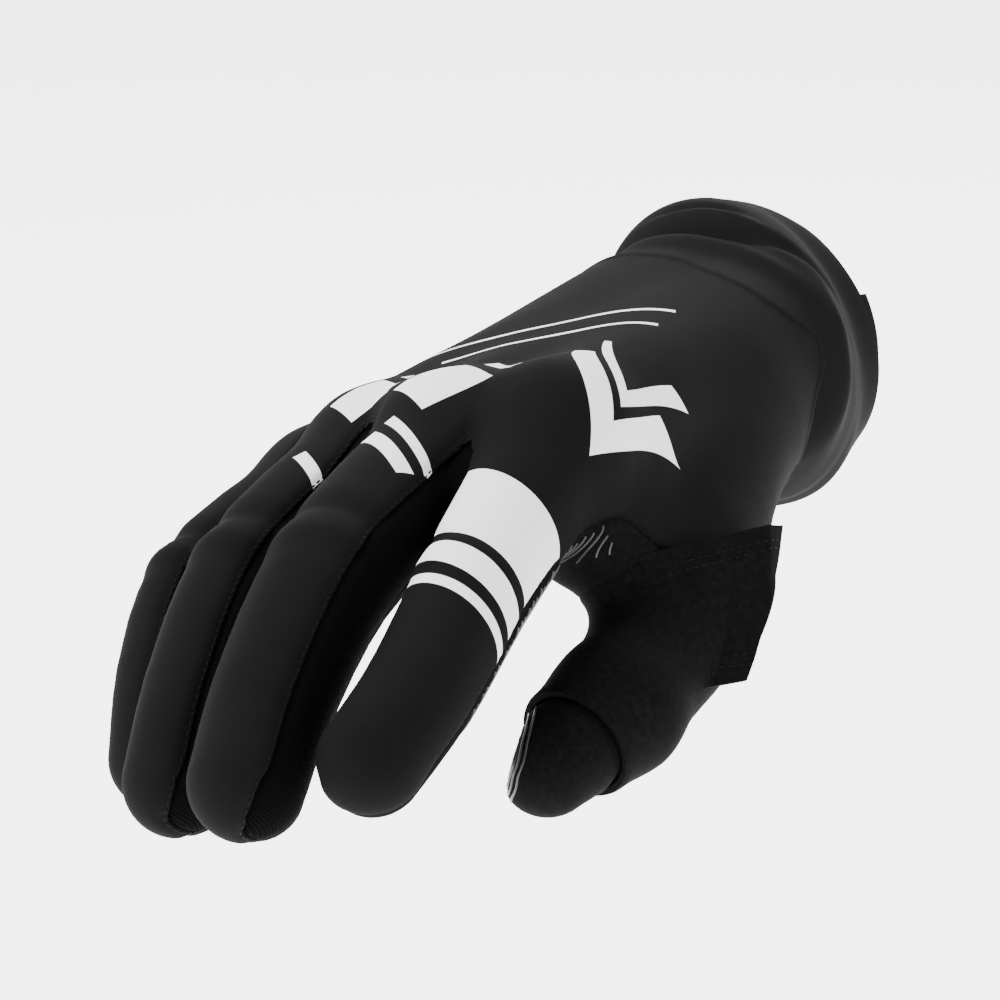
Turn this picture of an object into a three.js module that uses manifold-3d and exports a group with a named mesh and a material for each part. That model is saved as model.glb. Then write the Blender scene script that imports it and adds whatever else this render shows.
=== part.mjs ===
// A right-hand motocross glove that keeps the form of a hand, in millimetres.
// The fingers point along -Y, the thumb lies towards +X, and the back of the hand faces up.
// The origin is the middle of the cuff's open rim, where the wrist goes in.
import * as THREE from 'three'
import { mergeVertices } from 'three/addons/utils/BufferGeometryUtils.js'
import Module from 'manifold-3d'

const wasm = await Module()
wasm.setup()

// Thickness of the cloth and leather, and the slit between two sewn pieces
const wallThickness = 1.6
const seamGap = 0.3

// The hand is turned about its length, thumb side up
const handRoll = THREE.MathUtils.degToRad(16)
const handAcross = new THREE.Vector3(Math.cos(handRoll), 0, Math.sin(handRoll))
const handOut = new THREE.Vector3(-Math.sin(handRoll), 0, Math.cos(handRoll))

// Corners of the rings that the sleeves are lofted through, outside and in the hollow
const fingerSides = 12
const hollowSides = 8
const cuffSides = 20

// Size of a facet on the hand's own sleeve, outside and in its hollow, and how often its corners are evened out
const handCell = 8
const hollowCell = 10.5
const netRounds = 3

// How far the back of each finger is turned towards the thumb, in degrees
const fingerTurns = { index: 25, middle: 16, ring: 0, little: -18 }

// Centre and radius of each finger at its joints, from the knuckle out
const fingerJoints = {
  index: [
    { joint: 'knuckle', x: 39, y: -121, z: 10, radius: 13 },
    { joint: 'middle', x: 49, y: -163, z: -9.5, radius: 12 },
    { joint: 'end', x: 55, y: -187, z: -21, radius: 11.2 },
    { joint: 'tip', x: 58, y: -201, z: -28, radius: 10.6 }
  ],
  middle: [
    { joint: 'knuckle', x: 17, y: -127.5, z: 5, radius: 13 },
    { joint: 'middle', x: 27, y: -174.5, z: -7.5, radius: 12 },
    { joint: 'end', x: 34.5, y: -200, z: -23, radius: 11.2 },
    { joint: 'tip', x: 39.5, y: -213, z: -34, radius: 10.6 }
  ],
  ring: [
    { joint: 'knuckle', x: -3.5, y: -124, z: -1, radius: 12.6 },
    { joint: 'middle', x: 2.5, y: -169.5, z: -14, radius: 11.4 },
    { joint: 'end', x: 10, y: -192, z: -29.5, radius: 10.8 },
    { joint: 'tip', x: 15, y: -204, z: -41.5, radius: 10.2 }
  ],
  little: [
    { joint: 'knuckle', x: -22.5, y: -118.5, z: -13, radius: 11.8 },
    { joint: 'middle', x: -20.5, y: -158.5, z: -23, radius: 10.4 },
    { joint: 'end', x: -15, y: -174, z: -36, radius: 9.8 },
    { joint: 'tip', x: -10, y: -182.5, z: -48.5, radius: 9.4 }
  ]
}

const fingerNames = ['little', 'ring', 'middle', 'index']
const fingers = Object.fromEntries(fingerNames.map((name) => {
  return [name, fingerJoints[name].map((joint) => ({ ...joint, turn: THREE.MathUtils.degToRad(fingerTurns[name]) }))]
}))

const thumb = [
  { joint: 'root', x: 28.5, y: -62, z: -6, radius: 18 },
  { joint: 'knuckle', x: 56.5, y: -100, z: -26.5, radius: 13.8 },
  { joint: 'end', x: 63, y: -135.5, z: -35.5, radius: 11.7 },
  { joint: 'tip', x: 62.5, y: -154, z: -42.5, radius: 10 }
]

// Bones and pads inside the hand: cones with round ends, from the wrist towards the fingers
const handPads = [
  { name: 'index bone', from: { x: 20.5, y: -30, z: 2.5, radius: 21.5 }, to: { x: 39, y: -121, z: 10, radius: 13.8 } },
  { name: 'middle bone', from: { x: 13.5, y: -30, z: 3.5, radius: 21.5 }, to: { x: 17, y: -127.5, z: 5, radius: 13.5 } },
  { name: 'ring bone', from: { x: 2.5, y: -30, z: 4.5, radius: 22 }, to: { x: -3.5, y: -124, z: -1, radius: 12.8 } },
  { name: 'little bone', from: { x: -4.5, y: -32, z: 0.5, radius: 20 }, to: { x: -22.5, y: -118.5, z: -13, radius: 12 } },
  { name: 'heel pad', from: { x: -0.5, y: -50, z: -11, radius: 15 }, to: { x: -16, y: -104, z: -20.5, radius: 13 } },
  { name: 'palm pad', from: { x: 23.5, y: -52, z: -7, radius: 15 }, to: { x: 39, y: -108, z: -5, radius: 12 } },
  { name: 'thumb fold', from: { x: 48.5, y: -97, z: -16, radius: 9 }, to: { x: 44, y: -121, z: -7, radius: 8.5 } },
  { name: 'thumb fold edge', from: { x: 54.5, y: -102, z: -23, radius: 7 }, to: { x: 46.5, y: -124, z: -10, radius: 6 } }
]

// How softly those pads, the thumb, and the thumb's own bones run into each other
const padBlend = 10
const thumbBlend = 12
const boneBlend = 4

// The web between the fingers: its radius between the knuckles and at its edge, and how far past the
// knuckles that edge lies, as a share of the first bone
const webRootRadius = 10
const webRadius = 7.5
const webReach = 0.4

// Length that one place past a finger's last joint, or before its first, stands for
const tipLength = 20

// Where a finger's sleeve starts inside the hand's own, how much thinner it is there, and the angles of
// the rings on its round end
const rootPlace = -0.35
const rootInset = 3
const roundEnd = [34, 66].map((angle) => THREE.MathUtils.degToRad(angle))
const ringsPerBone = 2

// The cuff from its open rim to the seam with the hand: half width and half height of each ring, how far
// its sides lean for each millimetre of height, and how far it follows the hand's own surface instead
const cuffRings = [
  { y: 0, x: 0, z: 0, halfWidth: 31.6, halfHeight: 27, lean: 0.12, follow: 0 },
  { y: -8, x: 0.5, z: -0.5, halfWidth: 33, halfHeight: 31, lean: 0.12, follow: 0 },
  { y: -17, x: 4, z: 0, halfWidth: 34, halfHeight: 33.5, lean: 0.06, follow: 0 },
  { y: -25, x: 7.5, z: 0.8, halfWidth: 34, halfHeight: 33, lean: 0.02, follow: 0.25 },
  { y: -31, x: 11, z: 0, halfWidth: 33.5, halfHeight: 29.8, lean: 0, follow: 0.7 },
  { y: -38, x: 12.5, z: 0.5, halfWidth: 32, halfHeight: 26, lean: 0, follow: 1 },
  { y: -46, x: 12.5, z: 0.5, halfWidth: 32, halfHeight: 26, lean: 0, follow: 1 }
]

// The wrist seam's plane, through a point and square to a direction that points out of the cuff
const wristSeam = { point: new THREE.Vector3(12.5, -37, 1), normal: new THREE.Vector3(-0.12, 0.98, 0.1) }

// The thumb panel's top seam, and its cut edge near the thumb's end, each facing the thumb's tip
const thumbTopSeam = { point: new THREE.Vector3(47.5, -84, -21), normal: new THREE.Vector3(0.3, -0.11, -0.95) }
const thumbEdge = { point: new THREE.Vector3(63, -147, -40), normal: new THREE.Vector3(0.03, -0.95, -0.3) }

// How far the thumb panel's outline stands round the thumb where it is cut out of the palm
const thumbPanelMargin = 6

// Seams on the fingers, as shares of the finger's radius above its middle
const fourchetteTop = 0.64
const fourchetteBottom = 0.55
const outerSeamDrop = 0.2

// The doubled tab inside the rim, on the thumb side: its size, how far it stands out past the rim, the
// height of its middle, and the depth of the block that it is cut from
const pullTab = { length: 15, width: 19, corner: 5, thickness: 1.6, beyondRim: 2.5, rise: 3, blockDepth: 14 }

// Closed surface through rings of equal corner count, each ring counter-clockwise seen from the last one
function loft(rings) {
  const count = rings[0].length
  const points = rings.flat()
  const centreOf = (ring) => ring.reduce((sum, p) => sum.add(p), new THREE.Vector3()).divideScalar(count)
  const first = points.push(rings[0].apex ?? centreOf(rings[0])) - 1
  const last = points.push(rings.at(-1).apex ?? centreOf(rings.at(-1))) - 1
  const faces = []
  for (let j = 0; j < count; j++) {
    const next = (j + 1) % count
    faces.push(first, next, j)
    for (let s = 0; s < rings.length - 1; s++) {
      const here = s * count
      const ahead = here + count
      faces.push(here + j, here + next, ahead + next)
      faces.push(here + j, ahead + next, ahead + j)
    }
    const end = (rings.length - 1) * count
    faces.push(last, end + j, end + next)
  }
  const geometry = new THREE.BufferGeometry()
  geometry.setAttribute('position', new THREE.Float32BufferAttribute(points.flatMap((p) => p.toArray()), 3))
  geometry.setIndex(faces)
  return geometry
}

// One ring stretched round a set of circles that lie in the plane of two directions
function ringRound(circles, across, out, sides) {
  const ring = []
  for (let j = 0; j < sides; j++) {
    const angle = (2 * Math.PI * j) / sides
    const facing = across.clone().multiplyScalar(Math.cos(angle)).addScaledVector(out, Math.sin(angle))
    const reach = (c) => c.centre.dot(facing) + c.radius
    const outermost = circles.reduce((best, c) => (reach(c) > reach(best) ? c : best))
    ring.push(outermost.centre.clone().addScaledVector(facing, outermost.radius))
  }
  return ring
}

const circle = (row, shrink = 0) => ({ centre: new THREE.Vector3(row.x, row.y, row.z), radius: row.radius - shrink })

// A manifold solid from a three.js geometry, and back
function solidOf(source) {
  const geometry = source.clone()
  geometry.deleteAttribute('normal')
  geometry.deleteAttribute('uv')
  const merged = mergeVertices(geometry, 1e-4)
  const vertProperties = new Float32Array(merged.attributes.position.array)
  const triVerts = new Uint32Array(merged.index.array)
  return new wasm.Manifold(new wasm.Mesh({ numProp: 3, vertProperties, triVerts }))
}

function geometryOf(solid) {
  const { vertProperties, triVerts } = solid.getMesh()
  const geometry = new THREE.BufferGeometry()
  geometry.setAttribute('position', new THREE.BufferAttribute(new Float32Array(vertProperties), 3))
  geometry.setIndex(new THREE.BufferAttribute(new Uint32Array(triVerts), 1))
  geometry.computeVertexNormals()
  return geometry
}

// One closed body from a cut solid: corners closer than a hair are joined, loose crumbs are dropped
const hair = 0.04

function tidied(solid) {
  const { vertProperties, triVerts } = solid.getMesh()
  const corner = (k) => new THREE.Vector3().fromArray(vertProperties, 3 * k)
  const groups = () => {
    const owner = Array.from({ length: vertProperties.length / 3 }, (_, k) => k)
    const find = (k) => {
      while (owner[k] !== k) k = owner[k] = owner[owner[k]]
      return k
    }
    return { find, join: (a, b) => { owner[find(a)] = find(b) } }
  }
  const near = groups()
  for (let t = 0; t < triVerts.length; t++) {
    const next = t % 3 === 2 ? t - 2 : t + 1
    if (corner(triVerts[t]).distanceTo(corner(triVerts[next])) < hair) near.join(triVerts[t], triVerts[next])
  }
  const joined = Array.from(triVerts, near.find)
  const faces = []
  for (let t = 0; t < joined.length; t += 3) {
    const face = joined.slice(t, t + 3)
    if (new Set(face).size === 3) faces.push(face)
  }
  const bodies = groups()
  for (const [a, b, c] of faces) {
    bodies.join(a, b)
    bodies.join(b, c)
  }
  const counts = new Map()
  for (const [a] of faces) counts.set(bodies.find(a), (counts.get(bodies.find(a)) ?? 0) + 1)
  const largest = [...counts].reduce((best, entry) => (entry[1] > best[1] ? entry : best))[0]
  const kept = faces.filter(([a]) => bodies.find(a) === largest).flat()
  return new wasm.Manifold(new wasm.Mesh({ numProp: 3, vertProperties, triVerts: new Uint32Array(kept) }))
}

const union = (solids) => solids.reduce((sum, solid) => sum.add(solid))

// Place, direction, radius and own axes of a finger at a share of its joint table
function alongFinger(rows, place) {
  const curve = new THREE.CatmullRomCurve3(rows.map((row) => circle(row).centre), false, 'centripetal')
  const last = rows.length - 1
  const step = Math.min(Math.max(place, 0), last - 1e-6)
  const row = Math.floor(step)
  const ahead = curve.getTangent(step / last)
  const centre = curve.getPoint(step / last)
  centre.addScaledVector(ahead, (Math.min(place, 0) + Math.max(place - last, 0)) * tipLength)
  const radius = THREE.MathUtils.lerp(rows[row].radius, rows[row + 1].radius, step - row)
  const across = handAcross.clone().addScaledVector(ahead, -handAcross.dot(ahead)).normalize()
  across.applyAxisAngle(ahead, -(rows[0].turn ?? 0))
  const out = ahead.clone().cross(across)
  return { centre, ahead, radius, across, out }
}

// A finger's sleeve: rings along its joints, then a round end
function fingerSleeve(rows, shrink) {
  const rings = []
  const last = rows.length - 1
  const sides = shrink > 0 ? hollowSides : fingerSides
  const places = [rootPlace]
  for (let k = 0; k <= last * ringsPerBone; k++) places.push(k / ringsPerBone)
  for (const place of places) {
    const at = alongFinger(rows, place)
    const inset = place < 0 ? rootInset : 0
    rings.push(ringRound([{ centre: at.centre, radius: at.radius - shrink - inset }], at.across, at.out, sides))
  }
  const tip = alongFinger(rows, last)
  const tipRadius = tip.radius - shrink
  for (const angle of roundEnd) {
    const centre = tip.centre.clone().addScaledVector(tip.ahead, tipRadius * Math.sin(angle))
    rings.push(ringRound([{ centre, radius: tipRadius * Math.cos(angle) }], tip.across, tip.out, sides))
  }
  rings.at(-1).apex = tip.centre.clone().addScaledVector(tip.ahead, tipRadius)
  return solidOf(loft(rings))
}

// Distance from a cone with round ends, given at two rows of a table
function padDistance(p, from, to) {
  const a = circle(from).centre
  const along = circle(to).centre.sub(a)
  const offset = p.clone().sub(a)
  const share = THREE.MathUtils.clamp(offset.dot(along) / along.lengthSq(), 0, 1)
  return offset.addScaledVector(along, -share).length() - THREE.MathUtils.lerp(from.radius, to.radius, share)
}

// The smaller of two distances, with a soft run from one to the other
function softMin(a, b, blend) {
  const share = THREE.MathUtils.clamp(0.5 + (0.5 * (b - a)) / blend, 0, 1)
  return THREE.MathUtils.lerp(b, a, share) - blend * share * (1 - share)
}

// The web of skin between two neighbouring fingers
function webPads() {
  return [['little', 'ring'], ['ring', 'middle'], ['middle', 'index']].map(([inner, outer]) => {
    const between = (place, radius) => {
      const middle = alongFinger(fingers[inner], place).centre.lerp(alongFinger(fingers[outer], place).centre, 0.5)
      return { x: middle.x, y: middle.y, z: middle.z, radius }
    }
    return { from: between(0, webRootRadius), to: between(webReach, webRadius) }
  })
}

const softPads = [...handPads, ...webPads()]

// Distance from the surface of the hand and thumb, without the fingers
function handDistance(p) {
  const pads = softPads.map(({ from, to }) => padDistance(p, from, to))
  const palm = pads.reduce((nearest, distance) => softMin(nearest, distance, padBlend))
  const bones = thumb.slice(1).map((row, k) => padDistance(p, thumb[k], row))
  const thumbBones = bones.reduce((nearest, distance) => softMin(nearest, distance, boneBlend))
  return softMin(palm, thumbBones, thumbBlend)
}

// Moves each corner part of the way to the middle of its neighbours, then back onto the surface
const settleShare = 0.5
const probe = 0.5

function settle(points, quads, distance) {
  const sums = points.map(() => new THREE.Vector3())
  const counts = points.map(() => 0)
  for (const quad of quads) {
    quad.forEach((here, k) => {
      sums[here].add(points[quad[(k + 1) % 4]])
      counts[here] += 1
    })
  }
  points.forEach((point, k) => {
    point.lerp(sums[k].divideScalar(counts[k]), settleShare)
    const here = distance(point)
    const slope = new THREE.Vector3(
      distance(point.clone().setX(point.x + probe)) - here,
      distance(point.clone().setY(point.y + probe)) - here,
      distance(point.clone().setZ(point.z + probe)) - here
    )
    point.addScaledVector(slope.normalize(), -here)
  })
}

// Closed surface where a distance function is zero: one corner in each cell of a grid that it crosses,
// one face round each edge of the grid that it crosses. The grid is turned with the hand.
function netRound(distance, low, high, cell) {
  const counts = high.map((value, axis) => Math.ceil((value - low[axis]) / cell) + 1)
  const indexOf = (i, j, k) => (i * counts[1] + j) * counts[2] + k
  const pointAt = (i, j, k) => new THREE.Vector3(0, low[1] + j * cell, 0)
    .addScaledVector(handAcross, low[0] + i * cell)
    .addScaledVector(handOut, low[2] + k * cell)
  const values = new Float64Array(counts[0] * counts[1] * counts[2])
  for (let i = 0; i < counts[0]; i++) {
    for (let j = 0; j < counts[1]; j++) {
      for (let k = 0; k < counts[2]; k++) values[indexOf(i, j, k)] = distance(pointAt(i, j, k))
    }
  }
  const steps = [[1, 0, 0], [0, 1, 0], [0, 0, 1]]
  const corners = new Map()
  const addTo = (i, j, k, point) => {
    const key = indexOf(i, j, k)
    const corner = corners.get(key) ?? { sum: new THREE.Vector3(), count: 0 }
    corner.sum.add(point)
    corner.count += 1
    corners.set(key, corner)
    return key
  }
  const quads = []
  for (let i = 1; i < counts[0] - 1; i++) {
    for (let j = 1; j < counts[1] - 1; j++) {
      for (let k = 1; k < counts[2] - 1; k++) {
        const here = values[indexOf(i, j, k)]
        steps.forEach(([di, dj, dk], axis) => {
          const there = values[indexOf(i + di, j + dj, k + dk)]
          if ((here < 0) === (there < 0)) return
          const crossing = pointAt(i, j, k).lerp(pointAt(i + di, j + dj, k + dk), here / (here - there))
          const u = steps[(axis + 1) % 3]
          const v = steps[(axis + 2) % 3]
          const quad = [[0, 0], [1, 0], [1, 1], [0, 1]].map(([a, b]) => {
            return addTo(i - a * u[0] - b * v[0], j - a * u[1] - b * v[1], k - a * u[2] - b * v[2], crossing)
          })
          quads.push(here < 0 ? quad : quad.reverse())
        })
      }
    }
  }
  const keys = [...corners.keys()]
  const order = new Map(keys.map((key, k) => [key, k]))
  const points = keys.map((key) => corners.get(key).sum.divideScalar(corners.get(key).count))
  const ordered = quads.map((quad) => quad.map((key) => order.get(key)))
  for (let round = 0; round < netRounds; round++) settle(points, ordered, distance)
  const geometry = new THREE.BufferGeometry()
  geometry.setAttribute('position', new THREE.Float32BufferAttribute(points.flatMap((p) => p.toArray()), 3))
  geometry.setIndex(ordered.flatMap(([a, b, c, d]) => [a, b, c, a, c, d]))
  return geometry
}

// The hand and thumb as one closed body, shrunk for its hollow; the grid reaches past them on each side
const handLow = [-62, -187, -88]
const handHigh = [90, 12, 50]

function handSleeve(shrink) {
  const cell = shrink > 0 ? hollowCell : handCell
  return solidOf(netRound((p) => handDistance(p) + shrink, handLow, handHigh, cell))
}

// The hand's surface, seen from a point inside it in one direction
const halvings = 20

function surfacePoint(centre, facing) {
  let inside = 0
  let outside = 60
  for (let step = 0; step < halvings; step++) {
    const middle = (inside + outside) / 2
    const reached = centre.clone().addScaledVector(facing, middle)
    if (handDistance(reached) < 0) inside = middle
    else outside = middle
  }
  return centre.clone().addScaledVector(facing, inside)
}

// The cuff as one closed body, shrunk for its hollow; beyondRim carries it on past the open rim
function cuffSleeve(shrink, beyondRim) {
  const across = new THREE.Vector3(1, 0, 0)
  const out = new THREE.Vector3(0, 0, 1)
  const ringAt = (row, y) => {
    const radius = row.halfHeight
    const spread = row.halfWidth - row.halfHeight
    const circles = [-spread, spread].map((side) => ({ centre: new THREE.Vector3(row.x + side, y, row.z), radius }))
    const centre = new THREE.Vector3(row.x, y, row.z)
    return ringRound(circles, across, out, cuffSides).map((upright) => {
      const point = upright.clone().addScaledVector(across, -row.lean * (upright.z - row.z))
      const facing = point.clone().sub(centre).normalize()
      return point.lerp(surfacePoint(centre, facing), row.follow).addScaledVector(facing, -shrink)
    })
  }
  const rings = cuffRings.map((row) => ringAt(row, row.y))
  if (beyondRim > 0) rings.unshift(ringAt(cuffRings[0], beyondRim))
  return solidOf(loft(rings))
}

// A big block on the far side of a plane, for cutting
function halfSpace(plane, shift) {
  const size = 400
  const block = new THREE.BoxGeometry(size, size, size)
  const normal = plane.normal.clone().normalize()
  const turn = new THREE.Quaternion().setFromUnitVectors(new THREE.Vector3(0, 0, 1), normal)
  const centre = plane.point.clone().addScaledVector(normal, size / 2 + shift)
  block.applyMatrix4(new THREE.Matrix4().compose(centre, turn, new THREE.Vector3(1, 1, 1)))
  return solidOf(block)
}

// The sheet that parts the back from the palm: rows across the hand, each at a step along its bones, with
// the point that it passes on the thumb's side; then rows across the fingers, at places on their joints
const sheetRows = [
  { step: -0.5, thumbAt: new THREE.Vector3(36, 8, -9) },
  { step: 0.1, thumbAt: new THREE.Vector3(36, -40, -9) },
  { step: 0.5, thumbAt: alongFinger(thumb, 0.45).centre },
  { step: 0.85, thumbAt: alongFinger(thumb, 0.9).centre }
]
const sheetPlaces = [0.4, 1, 2, 3, 4.2]

// How far the sheet reaches past the hand's sides, how much it falls there for each millimetre, and how
// deep the block below it is
const sheetReach = 60
const thumbSideFall = 0.6
const littleSideFall = 0.1
const sheetDepth = 70

// Everything below that sheet; shift moves the sheet outwards
function palmSide(shift) {
  const aside = (at, sign, distance, drop) => at.centre.clone()
    .addScaledVector(at.across, sign * distance)
    .addScaledVector(at.out, -drop * distance)
  const bones = handPads.slice(0, 4).reverse()
  const handRows = sheetRows.map(({ step, thumbAt }) => {
    const places = bones.map(({ from, to }) => {
      const along = circle(to).centre.sub(circle(from).centre)
      return { centre: circle(from).centre.addScaledVector(along, step), across: handAcross, out: handOut }
    })
    const end = thumbAt.clone()
      .addScaledVector(handAcross, sheetReach)
      .addScaledVector(handOut, -thumbSideFall * sheetReach)
    return { places, edge: thumbAt, end, littleFall: littleSideFall }
  })
  const fingerRows = sheetPlaces.map((place) => {
    const places = fingerNames.map((name) => alongFinger(fingers[name], place))
    const index = places.at(-1)
    const edge = aside(index, 1, index.radius, outerSeamDrop)
    const end = aside(index, 1, sheetReach, outerSeamDrop)
    return { places, edge, end, littleFall: outerSeamDrop }
  })
  const rings = [...handRows, ...fingerRows].map(({ places, edge, end, littleFall }) => {
    const start = aside(places[0], -1, sheetReach, littleFall)
    const outs = [places[0].out, ...places.map((at) => at.out), places.at(-1).out, places.at(-1).out]
    const sheet = [start, ...places.map((at) => at.centre), edge, end]
    const top = sheet.map((p, k) => {
      const along = sheet[Math.min(k + 1, sheet.length - 1)].clone().sub(sheet[Math.max(k - 1, 0)]).normalize()
      const square = outs[k].clone().addScaledVector(along, -outs[k].dot(along)).normalize()
      return p.clone().addScaledVector(square, shift)
    })
    const bottom = sheet.map((p, k) => p.clone().addScaledVector(outs[k], -sheetDepth))
    return [...top.reverse(), ...bottom]
  })
  return solidOf(loft(rings))
}

// A ring of corners, in the plane of two directions, moved outwards by the same distance on every side
function grownRing(ring, across, out, grow) {
  const outward = (k) => {
    const edge = ring[(k + 1) % ring.length].clone().sub(ring[k % ring.length])
    return across.clone().multiplyScalar(edge.dot(out)).addScaledVector(out, -edge.dot(across)).normalize()
  }
  return ring.map((corner, k) => {
    const before = outward(k + ring.length - 1)
    const after = outward(k)
    return corner.clone().addScaledVector(before.clone().add(after), grow / (1 + before.dot(after)))
  })
}

// One side of a finger between the seams with the back and the palm, from the web to the tip. Each stage
// has its share of the seams' full height, and reaches from inside the finger to just past its side, in
// shares of the finger's radius.
const stripStages = [
  { place: 0.28, height: 0.45 },
  { place: 0.4, height: 0.9 },
  { place: 1, height: 1 },
  { place: 2, height: 1 },
  { place: 2.6, height: 0.85 },
  { place: 3.3, height: 0.3 }
]
const stripInside = 0.3
const stripOutside = 1.06

function fingerStrip(rows, side, grow) {
  const rings = stripStages.map(({ place, height }, k) => {
    const beyond = k === 0 ? -grow : k === stripStages.length - 1 ? grow : 0
    const at = alongFinger(rows, place + beyond / tipLength)
    const [left, right] = side > 0 ? [stripInside, stripOutside] : [-stripOutside, -stripInside]
    const top = fourchetteTop * height
    const bottom = -fourchetteBottom * height
    const ring = [[right, top], [left, top], [left, bottom], [right, bottom]].map(([sideways, lift]) => {
      return at.centre.clone()
        .addScaledVector(at.across, sideways * at.radius)
        .addScaledVector(at.out, lift * at.radius)
    })
    return grownRing(ring, at.across, at.out, grow)
  })
  return solidOf(loft(rings))
}

// The part of a strip that goes round the crotch: it starts as a narrow slot in the web between the
// fingers, then reaches from one finger to the next
const crotchStages = [
  { place: 0.13, height: 0.9, slot: true },
  { place: 0.35, height: 0.85, slot: false },
  { place: 0.6, height: 0.9, slot: false }
]
const slotHalfWidth = 1

// The strip between two neighbours and round their crotch; grow widens it, for cutting it out of the rest
function fourchetteRegion(inner, outer, grow) {
  const rings = crotchStages.map(({ place, height, slot }, k) => {
    const beyond = k === 0 ? -grow : k === crotchStages.length - 1 ? grow : 0
    const a = alongFinger(fingers[inner], place + beyond / tipLength)
    const b = alongFinger(fingers[outer], place + beyond / tipLength)
    const middle = a.centre.clone().lerp(b.centre, 0.5)
    const corner = (at, side, share) => {
      const start = slot ? middle.clone() : at.centre.clone()
      const sideways = slot ? -side * slotHalfWidth : side * stripInside * at.radius
      return start.addScaledVector(handAcross, sideways).addScaledVector(handOut, share * height * at.radius)
    }
    const ring = [
      corner(b, -1, fourchetteTop), corner(a, 1, fourchetteTop),
      corner(a, 1, -fourchetteBottom), corner(b, -1, -fourchetteBottom)
    ]
    return grownRing(ring, handAcross, handOut, grow)
  })
  return union([
    solidOf(loft(rings)),
    fingerStrip(fingers[inner], 1, grow),
    fingerStrip(fingers[outer], -1, grow)
  ])
}

// The space round the thumb that its panel and tip are cut from
const thumbPlaces = [-0.3, 0, 0.5, 1, 1.5, 2, 2.5, 3, 4]

function thumbRegion(grow) {
  const wide = thumb.map((row) => ({ ...row, radius: row.radius + thumbPanelMargin + grow }))
  const rings = thumbPlaces.map((place) => {
    const at = alongFinger(wide, place)
    return ringRound([{ centre: at.centre, radius: at.radius }], at.across, at.out, fingerSides)
  })
  return solidOf(loft(rings)).intersect(halfSpace(thumbTopSeam, -grow))
}

// The hand's cloth before it is cut into panels: a shell of even thickness, open at the wrist seam
const handForm = (shrink) => union([
  handSleeve(shrink),
  ...fingerNames.map((name) => fingerSleeve(fingers[name], shrink))
])
const handShell = handForm(0).subtract(handForm(wallThickness)).subtract(halfSpace(wristSeam, -seamGap))

// The thumb's part and the strips between the fingers are taken out of it
const thumbPart = handShell.intersect(thumbRegion(0))
const withoutThumb = handShell.subtract(thumbRegion(seamGap))
const neighbours = [['ring', 'little'], ['middle', 'ring'], ['index', 'middle']]
const fourchettes = neighbours.map(([outer, inner]) => {
  return { name: `fourchette_${outer}_${inner}`, solid: withoutThumb.intersect(fourchetteRegion(inner, outer, 0)) }
})
const panels = neighbours.reduce((left, [outer, inner]) => {
  return left.subtract(fourchetteRegion(inner, outer, seamGap))
}, withoutThumb)

// The cuff's hollow runs out past its rim
const pastRim = 5
const cuff = cuffSleeve(0, 0).subtract(cuffSleeve(wallThickness, pastRim)).intersect(halfSpace(wristSeam, 0))

// The tab's outline, rounded at the corners of its sewn end, cut out of a thin layer inside the cuff's wall
function tabSolid() {
  const { length, width, corner, thickness, beyondRim, rise, blockDepth } = pullTab
  const outline = new THREE.Shape()
  outline.moveTo(-width / 2, 0)
  outline.lineTo(width / 2, 0)
  outline.lineTo(width / 2, length - corner)
  outline.quadraticCurveTo(width / 2, length, width / 2 - corner, length)
  outline.lineTo(-width / 2 + corner, length)
  outline.quadraticCurveTo(-width / 2, length, -width / 2, length - corner)
  const block = new THREE.ExtrudeGeometry(outline, { depth: blockDepth, bevelEnabled: false, curveSegments: 4 })
  block.rotateX(Math.PI)
  block.rotateY(THREE.MathUtils.degToRad(90))
  block.translate(cuffRings[0].halfWidth, beyondRim, rise)
  const inWall = wallThickness + seamGap
  const layer = cuffSleeve(inWall, pastRim).subtract(cuffSleeve(inWall + thickness, pastRim))
  return solidOf(block).intersect(layer)
}

const pieces = [
  { name: 'back_panel', solid: panels.subtract(palmSide(seamGap)), colour: 0x17181a, roughness: 0.85 },
  { name: 'palm_panel', solid: panels.intersect(palmSide(0)), colour: 0x141414, roughness: 0.8 },
  ...fourchettes.map((strip) => ({ ...strip, colour: 0x0b0b0c, roughness: 0.95 })),
  { name: 'thumb_panel', solid: thumbPart.subtract(halfSpace(thumbEdge, -seamGap)), colour: 0x1a1a1a, roughness: 0.8 },
  { name: 'thumb_tip', solid: thumbPart.intersect(halfSpace(thumbEdge, 0)), colour: 0x151515, roughness: 0.75 },
  { name: 'cuff', solid: cuff, colour: 0x121314, roughness: 0.7 },
  { name: 'pull_tab', solid: tabSolid(), colour: 0x101010, roughness: 0.8 }
]

const glove = new THREE.Group()
for (const { name, solid, colour, roughness } of pieces) {
  const material = new THREE.MeshStandardMaterial({ color: colour, roughness, metalness: 0 })
  const mesh = new THREE.Mesh(geometryOf(tidied(solid)), material)
  mesh.name = name
  glove.add(mesh)
}

export default glove
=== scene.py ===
# A right-hand motocross glove, held up as if worn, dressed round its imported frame.
import math
from functools import reduce

import bpy
import numpy as np
from mathutils import Matrix, Vector


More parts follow.
